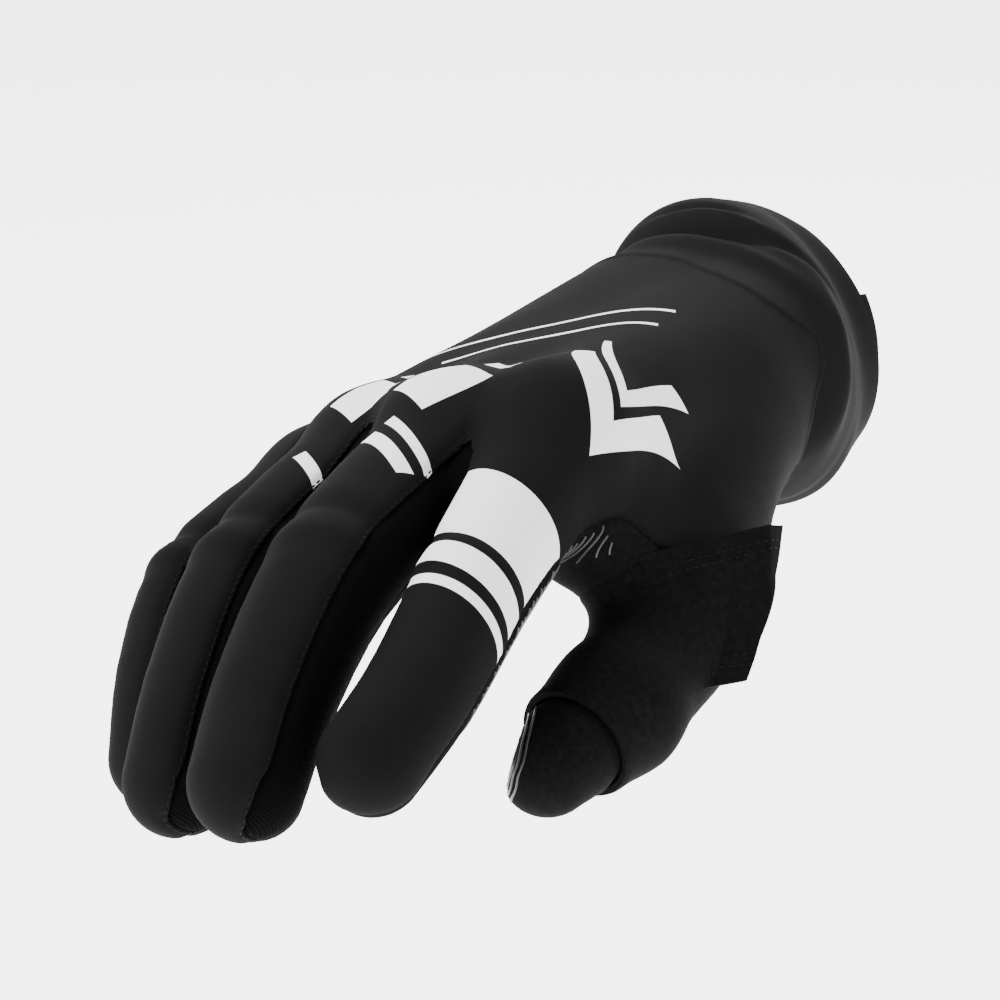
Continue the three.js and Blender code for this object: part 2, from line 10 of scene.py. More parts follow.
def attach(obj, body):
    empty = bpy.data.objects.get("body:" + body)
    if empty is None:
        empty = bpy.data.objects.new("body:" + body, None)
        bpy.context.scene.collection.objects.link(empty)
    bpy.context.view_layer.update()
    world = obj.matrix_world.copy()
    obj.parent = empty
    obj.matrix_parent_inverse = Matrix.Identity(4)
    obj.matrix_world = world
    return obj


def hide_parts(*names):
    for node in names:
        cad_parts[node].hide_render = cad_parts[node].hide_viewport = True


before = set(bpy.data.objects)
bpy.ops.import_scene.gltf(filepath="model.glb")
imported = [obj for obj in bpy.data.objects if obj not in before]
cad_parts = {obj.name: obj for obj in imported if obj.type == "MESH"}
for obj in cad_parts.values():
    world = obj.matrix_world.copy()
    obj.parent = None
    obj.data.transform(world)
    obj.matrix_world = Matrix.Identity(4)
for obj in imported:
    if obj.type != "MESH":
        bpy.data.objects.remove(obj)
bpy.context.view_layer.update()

# Camera
# It looks down at the glove from the thumb's side, over the fingertips, through a long lens.
mm = 0.001
view_azimuth = math.radians(38)
view_elevation = math.radians(16)
camera_distance = 0.9
picture_pixels = 1000
focal_pixels = 4300
wrist = Vector((12.5, -38, 0)) * mm
wrist_pixel = (700, 380)
sensor_width = 36


def linked(name, data):
    """A new object that is in the scene."""
    made = bpy.data.objects.new(name, data)
    bpy.context.scene.collection.objects.link(made)
    return made


view_right = Vector((math.cos(view_azimuth), math.sin(view_azimuth), 0))
view_back = Vector((
    math.sin(view_azimuth) * math.cos(view_elevation),
    -math.cos(view_azimuth) * math.cos(view_elevation),
    math.sin(view_elevation),
))
view_up = view_back.cross(view_right)
metres_per_pixel = camera_distance / focal_pixels
eye = (
    wrist
    - view_right * (wrist_pixel[0] - picture_pixels / 2) * metres_per_pixel
    - view_up * (picture_pixels / 2 - wrist_pixel[1]) * metres_per_pixel
    + view_back * camera_distance
)
lens = bpy.data.cameras.new("camera")
lens.sensor_width = sensor_width
lens.lens = focal_pixels / picture_pixels * sensor_width
camera = linked("camera", lens)
camera_axes = Matrix((view_right, view_up, view_back)).transposed().to_4x4()
camera.matrix_world = Matrix.Translation(eye) @ camera_axes
bpy.context.scene.camera = camera

# Floor and lights
# A wide matt white floor lies well below the glove. Large soft lamps and a white room light it.
floor_level = -0.26
half_floor = 15
floor_glow = 2.6
room_glow = 1.5
floor_signs = [(-1, -1), (1, -1), (1, 1), (-1, 1)]
floor_corners = [(x * half_floor, y * half_floor, floor_level) for x, y in floor_signs]
floor_mesh = bpy.data.meshes.new("floor")
floor_mesh.from_pydata(floor_corners, [], [(0, 1, 2, 3)])
floor_paint = bpy.data.materials.new("floor_paint")
floor_paint.use_nodes = True
floor_shader = floor_paint.node_tree.nodes["Principled BSDF"]
floor_shader.inputs["Base Color"].default_value = (0.93, 0.93, 0.93, 1)
floor_shader.inputs["Roughness"].default_value = 0.9
floor_shader.inputs["Emission Color"].default_value = (1, 1, 1, 1)
floor_shader.inputs["Emission Strength"].default_value = floor_glow
floor_mesh.materials.append(floor_paint)
floor = linked("floor", floor_mesh)

room = bpy.data.worlds.new("room")
room.use_nodes = True
room.node_tree.nodes["Background"].inputs["Color"].default_value = (1, 1, 1, 1)
room.node_tree.nodes["Background"].inputs["Strength"].default_value = room_glow
bpy.context.scene.world = room

lamps = [
    {"name": "key", "at": (-0.7, -0.75, 1.2), "size": 1.1, "watts": 44},
    {"name": "side", "at": (1.5, 0.3, 0.7), "size": 0.9, "watts": 1.5},
    {"name": "rear", "at": (-0.5, 1.2, 0.9), "size": 1.0, "watts": 20},
]
lamp_target = Vector((0.015, -0.12, 0))
for row in lamps:
    light = bpy.data.lights.new(row["name"], "AREA")
    light.size = row["size"]
    light.energy = row["watts"]
    lamp = linked(row["name"], light)
    lamp.location = row["at"]
    lamp.rotation_euler = (lamp_target - lamp.location).to_track_quat("-Z", "Y").to_euler()

# The sewn hand
# Back, palm, finger strips and thumb leather are sewn into one skin, and all are cut from it here.
# It keeps the form of a hand: bones and pads with round ends, softly joined, in millimetres.
hand_roll = math.radians(16)
hand_across = np.array([math.cos(hand_roll), 0, math.sin(hand_roll)])
hand_out = np.array([-math.sin(hand_roll), 0, math.cos(hand_roll)])

# Centre x, y, z and radius at each joint, from the knuckle out, and the turn of the finger's back
joints = {
    "little": [
        (-22.5, -118.5, -13, 11.8), (-20.5, -158.5, -23, 10.4), (-15, -174, -36, 9.8),
        (-10, -182.5, -48.5, 9.4),
    ],
    "ring": [
        (-3.5, -124, -1, 12.6), (2.5, -169.5, -14, 11.4), (10, -192, -29.5, 10.8), (15, -204, -41.5, 10.2),
    ],
    "middle": [
        (17, -127.5, 5, 13), (27, -174.5, -7.5, 12), (34.5, -200, -23, 11.2), (39.5, -213, -34, 10.6),
    ],
    "index": [
        (39, -121, 10, 12.6), (49.8, -162.4, -9.5, 10.8), (56.5, -186, -21, 10.1), (58.3, -201.3, -29, 9.7),
    ],
    "thumb": [
        (28.5, -62, -6, 18), (56.2, -101.5, -26.5, 12.2), (63, -135.5, -35.8, 12),
        (61.5, -154.5, -42.5, 9.3),
    ],
}
turns = {"little": -18, "ring": 0, "middle": 16, "index": 25, "thumb": 0}
fingers = ["little", "ring", "middle", "index"]

# Bones and pads inside the hand, from the wrist towards the fingers
pads = [
    ((20.5, -30, 2.5, 21.5), (39, -121, 10, 13.8)),
    ((13.5, -30, 3.5, 21.5), (17, -127.5, 5, 13.5)),
    ((2.5, -30, 4.5, 22), (-3.5, -124, -1, 12.8)),
    ((-4.5, -32, 0.5, 20), (-22.5, -118.5, -13, 12)),
    ((-0.5, -50, -11, 15), (-16, -104, -20.5, 13)),
    ((23.5, -52, -7, 15), (39, -108, -5, 12)),
    ((48.5, -97, -16, 9), (44, -121, -7, 8.5)),
    ((54.5, -102, -23, 7), (46.5, -124, -10, 6)),
]
pad_blend = 10
thumb_blend = 12
thumb_bone_blend = 4
finger_bone_blend = 3
knuckle_blend = 7

# The pads in the webs between fingers: their radii, and how far along the fingers they reach
web_radii = (9.8, 7)
web_reach = 0.28

# The straight runs before and past each finger's curve, in millimetres and in joints
past_ends = (60, 20)
past_joints = (3, 1)
curve_step = 4
curve_band = 8


def cone(points, start, end):
    """Distance from a cone with round ends."""
    start = np.array(start, float)
    end = np.array(end, float)
    along = end[:3] - start[:3]
    offset = points - start[:3]
    share = np.clip(offset @ along / (along @ along), 0, 1)
    offset -= share[:, None] * along
    return np.sqrt((offset * offset).sum(1)) - (start[3] + (end[3] - start[3]) * share)


def soft_min(a, b, blend):
    share = np.clip(0.5 + 0.5 * (b - a) / blend, 0, 1)
    return b + (a - b) * share - blend * share * (1 - share)


def soft_join(distances, blend):
    """Several distances softly joined, one after another."""
    return reduce(lambda a, b: soft_min(a, b, blend), distances)


def unit(vectors):
    return vectors / np.linalg.norm(vectors, axis=-1, keepdims=True)


def joint_curve(rows, steps=16):
    """Points, places and radii on a smooth curve through the joints, with a straight run past each end."""
    rows = np.array(rows, float)
    ends = [2 * rows[0, :3] - rows[1, :3], *rows[:, :3], 2 * rows[-1, :3] - rows[-2, :3]]
    points = []
    for k in range(len(rows) - 1):
        p = ends[k:k + 4]
        t = np.cumsum([0] + [np.linalg.norm(p[j + 1] - p[j]) ** 0.5 for j in range(3)])
        for step in range(steps):
            x = t[1] + (t[2] - t[1]) * step / steps
            mix = lambda a, b, i, j: (a * (t[j] - x) + b * (x - t[i])) / (t[j] - t[i])
            first = mix(mix(p[0], p[1], 0, 1), mix(p[1], p[2], 1, 2), 0, 2)
            second = mix(mix(p[1], p[2], 1, 2), mix(p[2], p[3], 2, 3), 1, 3)
            points.append(mix(first, second, 1, 2))
    points.append(rows[-1, :3])
    places = np.arange(len(points)) / steps
    radii = np.interp(places, range(len(rows)), rows[:, 3])
    before = points[0] + unit(points[0] - points[1]) * past_ends[0]
    after = points[-1] + unit(points[-1] - points[-2]) * past_ends[1]
    places = np.concatenate([[-past_joints[0]], places, [places[-1] + past_joints[1]]])
    return np.array([before, *points, after]), places, np.concatenate([[radii[0]], radii, [radii[-1]]])


curves = {name: joint_curve(rows) for name, rows in joints.items()}


def on_curve(name, place):
    points, places, radii = curves[name]
    return np.array([np.interp(place, places, points[:, k]) for k in range(3)])


web_pads = []
for inner, outer in zip(fingers, fingers[1:]):
    middle = [(on_curve(inner, place) + on_curve(outer, place)) / 2 for place in (0, web_reach)]
    web_pads.append(tuple((*point, radius) for point, radius in zip(middle, web_radii)))


def bones(points, name, blend):
    return soft_join([cone(points, *pair) for pair in zip(joints[name], joints[name][1:])], blend)


def finger_distance(points, name):
    """Distance from a finger's skin: short cones along its curve, worked out only near it."""
    distance = bones(points, name, finger_bone_blend)
    near = distance < curve_band
    centres, _, radii = (values[1:-1:curve_step] for values in curves[name])
    rows = np.column_stack([centres, radii])
    distance[near] = np.min([cone(points[near], *pair) for pair in zip(rows, rows[1:])], axis=0)
    return distance


def hand_distance(points):
    palm = soft_join([cone(points, *pad) for pad in pads + web_pads], pad_blend)
    hand = soft_min(palm, bones(points, "thumb", thumb_bone_blend), thumb_blend)
    whole = hand
    for name in fingers:
        whole = np.minimum(whole, soft_min(hand, finger_distance(points, name), knuckle_blend))
    return whole


def facing(points, distance, reach=0.4):
    """Direction in which a distance grows fastest."""
    steps = np.eye(3) * reach
    slope = np.stack([distance(points + step) - distance(points - step) for step in steps], 1)
    return unit(slope)


def sums_at(index, rows, count):
    """Sum of the rows of a table that go to each index."""
    return np.stack([np.bincount(index, weights=column, minlength=count) for column in rows.T], 1)


def net_round(distance, low, high, cell, block=4, rounds=2):
    """Triangles on the surface where a distance is zero: one vertex in each grid cell that it crosses."""
    shape = np.ceil((np.array(high) - low) / (cell * block)).astype(int) * block
    coarse = np.indices(shape // block).reshape(3, -1).T * block + (block - 1) / 2
    rough = distance(low + coarse * cell).reshape(shape // block)
    half_diagonal = 0.87
    near = np.abs(rough) < cell * (block * half_diagonal + 2)
    for axis in range(3):
        rough = np.repeat(rough, block, axis)
        near = np.repeat(near, block, axis)
    rough[near] = distance(low + np.argwhere(near) * cell)
    sums = np.zeros((rough.size, 3))
    counts = np.zeros(rough.size)
    strides = np.array([shape[1] * shape[2], shape[2], 1])
    quads = []
    for axis in range(3):
        here = np.moveaxis(rough, axis, 0)[:-1]
        ahead = np.moveaxis(rough, axis, 0)[1:]
        at = np.argwhere((here < 0) != (ahead < 0))
        a = here[tuple(at.T)]
        b = ahead[tuple(at.T)]
        spot = np.insert(at[:, 1:], axis, at[:, 0], axis=1)
        crossing = spot.astype(float)
        crossing[:, axis] += a / (a - b)
        u = strides[(axis + 1) % 3]
        v = strides[(axis + 2) % 3]
        key = spot @ strides
        quad = np.stack([key, key - u, key - u - v, key - v], 1)
        quad[a >= 0] = quad[a >= 0][:, ::-1]
        quads.append(quad)
        for corner in quad.T:
            counts += np.bincount(corner, minlength=rough.size)
            sums += sums_at(corner, crossing, rough.size)
    used, quads = np.unique(np.concatenate(quads), return_inverse=True)
    quads = quads.reshape(-1, 4)
    points = low + sums[used] / counts[used][:, None] * cell
    for _ in range(rounds):
        total = np.zeros_like(points)
        share = np.zeros(len(points))
        for k in range(4):
            for neighbour in (1, 3):
                share += np.bincount(quads[:, k], minlength=len(points))
                total += sums_at(quads[:, k], points[quads[:, (k + neighbour) % 4]], len(points))
        points = (points + total / share[:, None]) / 2
        points -= facing(points, distance) * distance(points)[:, None]
    diagonals = points[quads[:, 0]] - points[quads[:, 2]], points[quads[:, 1]] - points[quads[:, 3]]
    short = (diagonals[0] ** 2).sum(1) < (diagonals[1] ** 2).sum(1)
    first = np.where(short[:, None], quads[:, [0, 1, 2]], quads[:, [0, 1, 3]])
    second = np.where(short[:, None], quads[:, [0, 2, 3]], quads[:, [1, 2, 3]])
    return points, np.concatenate([first, second])


def finger_frame(points, name):
    """Columns place, length along, sideways, lift, radius and distance of points about a finger."""
    centres, places, radii = curves[name]
    runs = np.linalg.norm(np.diff(centres, axis=0), axis=1)
    lengths = np.concatenate([[0], np.cumsum(runs)]) - past_ends[0]
    turn = math.radians(turns[name])
    nearest = np.full(len(points), np.inf)
    columns = np.zeros((len(points), 6))
    for k in range(len(centres) - 1):
        along = centres[k + 1] - centres[k]
        length = np.linalg.norm(along)
        ahead = along / length
        sideways = unit(hand_across - ahead * (hand_across @ ahead))
        lift = np.cross(ahead, sideways)
        sideways, lift = (
            sideways * math.cos(turn) - lift * math.sin(turn),
            lift * math.cos(turn) + sideways * math.sin(turn),
        )
        share = np.clip((points - centres[k]) @ ahead / length, 0, 1)
        offset = points - centres[k] - share[:, None] * along
        away = (offset * offset).sum(1)
        better = away < nearest
        nearest[better] = away[better]
        values = [
            places[k] + (places[k + 1] - places[k]) * share,
            lengths[k] + length * share,
            offset @ sideways,
            offset @ lift,
            radii[k] + (radii[k + 1] - radii[k]) * share,
        ]
        for column, value in enumerate(values):
            columns[better, column] = value[better]
    columns[:, 5] = finger_distance(points, name)
    return columns


PLACE, ALONG, SIDE, LIFT, RADIUS, AWAY = range(6)


def smooth_step(value, low, high):
    share = np.clip((value - low) / (high - low), 0, 1)
    return share * share * (3 - 2 * share)


# The skin as a table of columns: a row for each vertex, and its triangles. It ends a little inside its grid
skin_cell = 1.15
skin_low = np.array([-40, -228, -64])
skin_high = np.array([82, -20, 42])
skin_end = -22
skin = {}
skin["at"], skin["tris"] = net_round(hand_distance, skin_low, skin_high, skin_cell)
inside_grid = (skin["at"][skin["tris"]][:, :, 1] < skin_end).all(1)
skin["tris"] = skin["tris"][inside_grid]
skin["normal"] = facing(skin["at"], hand_distance)
for name in joints:
    skin[name] = finger_frame(skin["at"], name)
x_across = skin["at"] @ hand_across
z_out = skin["at"] @ hand_out

# Height of the seam between back and palm: for rows across the hand, at a y, its x and z in the hand's axes
sheet_rows = [
    {"y": -30, "x": [-70, -4.5, 3.6, 14, 20.4, 32, 92], "z": [-8, 1.5, 3.6, -0.4, -3.2, -18.5, -54]},
    {"y": -76, "x": [-70, -15, 0, 15, 29, 36, 92], "z": [-8, -2.5, 1.8, -0.1, -2.2, -26, -60]},
    {"y": -98, "x": [-70, -20, -2, 16.5, 38.5, 46.5, 92], "z": [-12, -4.5, 0.8, 0, -1.8, -38, -66]},
    {"y": -122, "x": [-70, -25, -3.6, 18, 42, 54, 92], "z": [-16, -6.3, 0, 0.1, -6, -22, -50]},
]
just_short = 0.001


def hand_sheet(x, y):
    heights = np.array([np.interp(x, row["x"], row["z"]) for row in sheet_rows])
    step = np.interp(-y, [-row["y"] for row in sheet_rows], range(len(sheet_rows)))
    step = np.clip(step, 0, len(sheet_rows) - 1 - just_short)
    row = step.astype(int)
    column = np.arange(len(x))
    return heights[row, column] + (heights[row + 1, column] - heights[row, column]) * (step - row)


# The same seam on the fingers, as a share of the radius below the finger's middle
index_drop = {"place": [0.28, 0.54, 0.7, 1, 1.4, 2.6, 3.3], "drop": [0.5, 0.5, 0.18, 0.08, 0.22, 0.25, 0.55]}
outer_drop = {"place": [0, 2.6, 3.3], "drop": [0.2, 0.25, 0.55]}
onto_fingers = (0.05, 0.5)
aways = np.stack([skin[name][:, AWAY] for name in fingers], 1)
closest = aways.argmin(1)
hand_part = z_out - hand_sheet(x_across, skin["at"][:, 1])
sheet = hand_part
for k, name in enumerate(fingers):
    place, _, side, lift, radius, _ = skin[name].T
    drop = np.interp(place, *outer_drop.values())
    if name == "index":
        drop = np.where(side > 0, np.interp(place, *index_drop.values()), drop)
    own = lift + drop * radius
    share = smooth_step(place, *onto_fingers)
    sheet = np.where(closest == k, hand_part * (1 - share) + own * share, sheet)
skin["sheet"] = sheet

# The strip between two fingers: its upper and lower seams as shares of the radius, by place on the finger,
# what the finger nearer the thumb keeps of the upper seam's height, how wide the strip starts at the crotch
# and how far that lies towards the thumb, and where it ends on the thumb's side and on the other
strip_top = {
    "place": [-0.1, 0.2, 0.5, 0.9, 1.2, 3.2, 3.3, 3.4, 3.47, 3.52, 3.56],
    "lift": [0.84, 0.76, 0.63, 0.7, 0.7, 0.68, 0.6, 0.47, 0.31, 0.05, -0.65],
}
strip_bottom = {"place": [0.1, 0.5, 3.56], "drop": [0.45, 0.55, 0.6]}
thumbward_top = {"place": [0.35, 0.8, 2, 2.8], "share": [1, 0.4, 0.3, -0.3]}
crotch_width = {"place": [-0.12, 0.03, 0.3, 0.45], "half": [-2, 1, 7, 60]}
crotch_shift = {"little": 0, "ring": 1, "middle": 5.5}
strip_side = 0.15
strip_end = (3.15, 3.6)
web_mix = 6
pairs = list(zip(fingers, fingers[1:]))
for inner, outer in pairs:
    a = skin[inner]
    b = skin[outer]
    share = np.clip(0.5 + (b[:, AWAY] - a[:, AWAY]) / (2 * web_mix), 0, 1)
    mixed = a * share[:, None] + b * (1 - share)[:, None]
    lift = a[:, LIFT] / a[:, RADIUS] * share + b[:, LIFT] / b[:, RADIUS] * (1 - share)
    side = a[:, SIDE] / a[:, RADIUS] * share - b[:, SIDE] / b[:, RADIUS] * (1 - share)
    place = mixed[:, PLACE]
    radius = mixed[:, RADIUS]
    slot = np.interp(place, *crotch_width.values())
    lower = np.interp(place, *thumbward_top.values())
    top = np.interp(place, *strip_top.values())
    top = np.where(top > 0, top * (share + (1 - share) * lower), top)
    skin[f"{outer}_{inner}"] = np.min([
        slot - np.abs((a[:, AWAY] - b[:, AWAY]) / 2 - crotch_shift[inner]),
        (top - lift) * radius,
        (np.interp(place, *strip_bottom.values()) + lift) * radius,
        (side - strip_side) * radius,
        (strip_end[0] + (strip_end[1] - strip_end[0]) * share - place) * past_ends[1],
    ], axis=0)
    skin[f"{outer}_{inner}_along"] = mixed[:, ALONG]
    skin[f"{outer}_{inner}_across"] = (a[:, AWAY] - b[:, AWAY]) / 2
strips = [f"{outer}_{inner}" for inner, outer in pairs]

# The thumb's leather: inside a margin round the thumb and below its top seam; its cut edge is near the tip
thumb_margin = 6
thumb_top = {"at": np.array([47.5, -84, -21]), "facing": np.array([0.3, -0.11, -0.95])}
thumb_edge = {"at": np.array([63, -147, -40]), "facing": np.array([0.03, -0.95, -0.3])}


def past_plane(points, plane):
    return (points - plane["at"]) @ unit(plane["facing"])


round_thumb = skin["thumb"]
skin["thumb_part"] = np.minimum(
    round_thumb[:, RADIUS] + thumb_margin - np.hypot(round_thumb[:, SIDE], round_thumb[:, LIFT]),
    past_plane(skin["at"], thumb_top),
)
skin["past_edge"] = past_plane(skin["at"], thumb_edge)

# The hem at the wrist: its y by the angle round the wrist, thumb side at 0 and back of the hand at 90
wrist_centre = (12.5, 0)
hem = {
    "angle": [-180, -60, -25, 0, 15, 25, 34, 45, 60, 75, 95, 140, 180],
    "y": [-42, -44, -46, -43, -37, -36, -42, -46, -47, -46, -43, -40.5, -42],
}
hem_angle = np.degrees(np.arctan2(skin["at"][:, 2] - wrist_centre[1], skin["at"][:, 0] - wrist_centre[0]))
skin["hem"] = np.interp(hem_angle, *hem.values()) - skin["at"][:, 1]

# Coordinates for patterns: across and along the hand, and along and round the index finger
ones = np.ones(len(skin["at"]))
skin["hand_chart"] = np.stack([x_across, skin["at"][:, 1], ones], 1)
about_index = skin["index"]
round_index = np.arctan2(about_index[:, SIDE], about_index[:, LIFT]) * about_index[:, RADIUS]
skin["index_chart"] = np.stack([about_index[:, ALONG], round_index, ones], 1)
off_the_chart = -500
skin["index_chart"][closest != fingers.index("index"), :2] = off_the_chart
snap = 0.1
triangle_sides = [[0, 1], [1, 2], [2, 0]]


def distinct_edges(ends, count):
    """The two ends of each different edge, and which of these edges each given one is."""
    a, b = np.sort(ends, axis=1).T
    _, first, which = np.unique(a * count + b, return_index=True, return_inverse=True)
    return a[first], b[first], which.reshape(-1)


def cut(cloth, level):
    """Adds vertices at a distance from a cloth's edge, so that sides run along it. Near ones snap to it."""
    value = cloth["edge"] - level
    value[np.abs(value) < snap] = 0
    cloth["edge"] = value + level
    tris = cloth["tris"]
    crossed = (value[tris] * value[tris[:, [1, 2, 0]]] < 0).any(1)
    whole = tris[~crossed]
    tris = tris[crossed]
    size = len(value)
    a, b, which = distinct_edges(tris[:, triangle_sides].reshape(-1, 2), size)
    split = value[a] * value[b] < 0
    share = value[a][split] / (value[a][split] - value[b][split])
    added = np.full(len(a), -1)
    added[split] = size + np.arange(split.sum())
    for name, data in cloth.items():
        if name == "tris":
            continue
        start = data[a[split]]
        end = data[b[split]]
        part = share.reshape(-1, *[1] * (data.ndim - 1))
        cloth[name] = np.concatenate([data, start + (end - start) * part])
    cloth["edge"][size:] = level
    middle = added[which].reshape(-1, 3)
    made = [whole]
    for k in range(3):
        a, b, c = (tris[:, (k + j) % 3] for j in range(3))
        ab, bc, ca = (middle[:, (k + j) % 3] for j in range(3))
        one = (ab >= 0) & (bc < 0) & (ca < 0)
        made += [np.stack([a, ab, c], 1)[one], np.stack([ab, b, c], 1)[one]]
        two = (ab >= 0) & (bc >= 0) & (ca < 0)
        made += [np.stack([ab, b, bc], 1)[two], np.stack([a, ab, bc], 1)[two], np.stack([a, bc, c], 1)[two]]
    cloth["tris"] = np.concatenate(made)


def panel(*limits, rows=()):
    """The skin inside limits, each a distance from a seam or edge, with rows of vertices beside its edge."""
    cloth = dict(skin)
    cloth["edge"] = np.min(limits, axis=0)
    cut(cloth, 0)
    kept = cloth["tris"][cloth["edge"][cloth["tris"]].mean(1) > 0]
    used, kept = np.unique(kept, return_inverse=True)
    cloth = {name: data[used] for name, data in cloth.items() if name != "tris"}
    cloth["tris"] = kept.reshape(-1, 3)
    for row in rows:
        cut(cloth, row)
    return cloth


def bell(distance, width, power=2):
    return np.exp(-((distance / width) ** power))


def groove(distance, depth, width):
    return -depth * bell(distance, width)


def walled(cloth, height, thickness):
    """Lifts a cloth off the skin and gives it its thickness, with closed edges."""
    count = len(cloth["at"])
    normal = unit(cloth["normal"])
    outer = cloth["at"] + normal * np.reshape(height, (-1, 1))
    inner = outer - normal * np.reshape(thickness, (-1, 1))
    tris = cloth["tris"]
    edges = tris[:, triangle_sides].reshape(-1, 2)
    lone = ~np.isin(edges[:, 0] * count + edges[:, 1], edges[:, 1] * count + edges[:, 0])
    a, b = edges[lone].T
    rim = np.concatenate([np.stack([b, a, a + count], 1), np.stack([b, a + count, b + count], 1)])
    return np.concatenate([outer, inner]), np.concatenate([tris, tris[:, ::-1] + count, rim])


def grid_tris(rows, columns, closed=False):
    """Triangles of a grid of points, given row by row. A closed grid joins its last column to its first."""
    row, column = np.divmod(np.arange((rows - 1) * columns), columns)
    if not closed:
        row, column = row[column < columns - 1], column[column < columns - 1]
    corner = row * columns + column
    beside = row * columns + (column + 1) % columns
    return np.concatenate([
        np.stack([corner, corner + columns, beside + columns], 1),
        np.stack([corner, beside + columns, beside], 1),
    ])


sharp_angle = math.radians(55)


def piece_object(name, points, tris, material, columns):
    """A named mesh object in metres with smooth faces, sharp rims and its pattern columns."""
    mesh = bpy.data.meshes.new(name)
    mesh.from_pydata(points * mm, [], tris)
    mesh.update()
    for column, values in columns.items():
        attribute = mesh.attributes.new(column, "FLOAT_VECTOR", "POINT")
        attribute.data.foreach_set("vector", np.ascontiguousarray(values, np.float32).ravel())
    mesh.shade_smooth()
    mesh.set_sharp_from_angle(angle=sharp_angle)
    mesh.materials.append(material)
    return linked(name, mesh)


def both_sides(values):
    return np.concatenate([values, values])


def node_adder(tree):
    """A way to add nodes to a tree, with settings and inputs' values or links. It returns their outputs."""
    def add(kind, inputs=(), **settings):
        node = tree.nodes.new(kind)
        for key, value in settings.items():
            setattr(node, key, value)
        for socket, value in dict(inputs).items():
            if isinstance(value, bpy.types.NodeSocket):
                tree.links.new(value, node.inputs[socket])
            else:
                node.inputs[socket].default_value = value
        return node.outputs

    return add


def new_material(name, colour, roughness, specular):
    """A node material, a way to add nodes, and one to give it a relief and a colour that isn't plain."""
    material = bpy.data.materials.new(name)
    material.use_nodes = True
    tree = material.node_tree
    shader = tree.nodes["Principled BSDF"]
    shader.inputs["Base Color"].default_value = (*colour, 1)
    shader.inputs["Roughness"].default_value = roughness
    shader.inputs["Specular IOR Level"].default_value = specular
    add = node_adder(tree)

    def dress(relief, strength, distance, blended=None):
        bump = add("ShaderNodeBump", {"Height": relief, "Strength": strength, "Distance": distance})
        tree.links.new(bump["Normal"], shader.inputs["Normal"])
        if blended is not None:
            tree.links.new(blended, shader.inputs["Base Color"])

    return material, add, dress


def noise(add, scale, detail, roughness=0.5):
    objects_at = add("ShaderNodeTexCoord")["Object"]
    inputs = {"Vector": objects_at, "Scale": scale, "Detail": detail, "Roughness": roughness}
    return add("ShaderNodeTexNoise", inputs)["Fac"]


def blend(add, share, first, second):
    """A mix of two colours, by a share of the second."""
    inputs = {"Factor": share, "A": first, "B": second}
    return add("ShaderNodeMix", inputs, data_type="RGBA")["Result"]


def maths(add, operation, first, second):
    return add("ShaderNodeMath", {0: first, 1: second}, operation=operation)[0]


# Back panel
# One piece of black four-way stretch twill covers the back of the hand, the wrist and the finger tops.
# Its edges are sewn to the palm, the finger strips and the thumb leather. A white pattern is printed on it.
back_thickness = 1.0
seam_slit = 0.015
seam_depth = 0.75
seam_width = 1.0
seam_rows = (0.8, 1.7)
raised = 0.3
under_leather = 2.0
hem_rise = 0.3
hem_width = 1.3

not_strips = [-skin[name] - seam_slit for name in strips]
outside_thumb = under_leather - skin["thumb_part"]
back = panel(skin["sheet"] - seam_slit, *not_strips, outside_thumb, skin["hem"], rows=seam_rows)

# On a finger's back: the crease behind the middle joint, the soft corner over it, and the end joint
joint_forms = [
    {"place": 0.87, "width": 0.05, "height": -0.6},
    {"place": 1.03, "width": 0.1, "height": 0.8},
    {"place": 2.0, "width": 0.12, "height": 0.1},
]
joint_fade = 3
ripple_height = 0.1
fold_height = 0.18
leather_dip = 1.0
dip_band = (-1.5, 0.3)


def finger_form(cloth):
    """Height of the joints on the fingers' backs, and of faint ripples on their sides."""
    height = np.zeros(len(cloth["at"]))
    for name in fingers:
        place, along, side, lift, radius, away = cloth[name].T
        near = smooth_step(-away, -joint_fade, 0)
        form = sum(row["height"] * bell(place - row["place"], row["width"]) for row in joint_forms)
        height += near * np.clip(lift / radius, 0, 1) * form
        ripples = np.sin(along / 3.1 + side / 6) * np.sin(along / 11 + 1)
        height += near * ripple_height * ripples * np.clip(0.6 - lift / radius, 0, 1)
    return height


def cloth_height(cloth, seams):
    """Height of the cloth: seams' grooves, faint broad folds, the dip under the thumb's leather, the hem."""
    x, y, z = cloth["at"].T
    folds = np.sin(x / 7.1 + y / 13 + 0.4 * np.sin(z / 9)) * np.sin(y / 17 - z / 11)
    height = raised + groove(seams, seam_depth, seam_width) + fold_height * folds
    height -= leather_dip * smooth_step(cloth["thumb_part"], *dip_band)
    return height + hem_rise * bell(cloth["hem"], hem_width, 4)


seam_edge = np.min([back["sheet"], *[-back[name] for name in strips]], axis=0)
points, tris = walled(back, cloth_height(back, seam_edge) + finger_form(back), back_thickness)
back_outside = points[:len(back["at"])]

twill_pitch = 0.35
white_print = (0.82, 0.82, 0.83, 1)
# A darkened copy of the print's white, for the twill's grooves: painted shade.
white_painted_shade = (0.7626, 0.7626, 0.7719, 1)
print_edge = 0.04
stretch, add, dress = new_material("stretch_twill", (0.003, 0.003, 0.0031), roughness=0.88, specular=0.06)
hand_chart = add("ShaderNodeAttribute", attribute_name="hand_chart")
index_chart = add("ShaderNodeAttribute", attribute_name="index_chart")

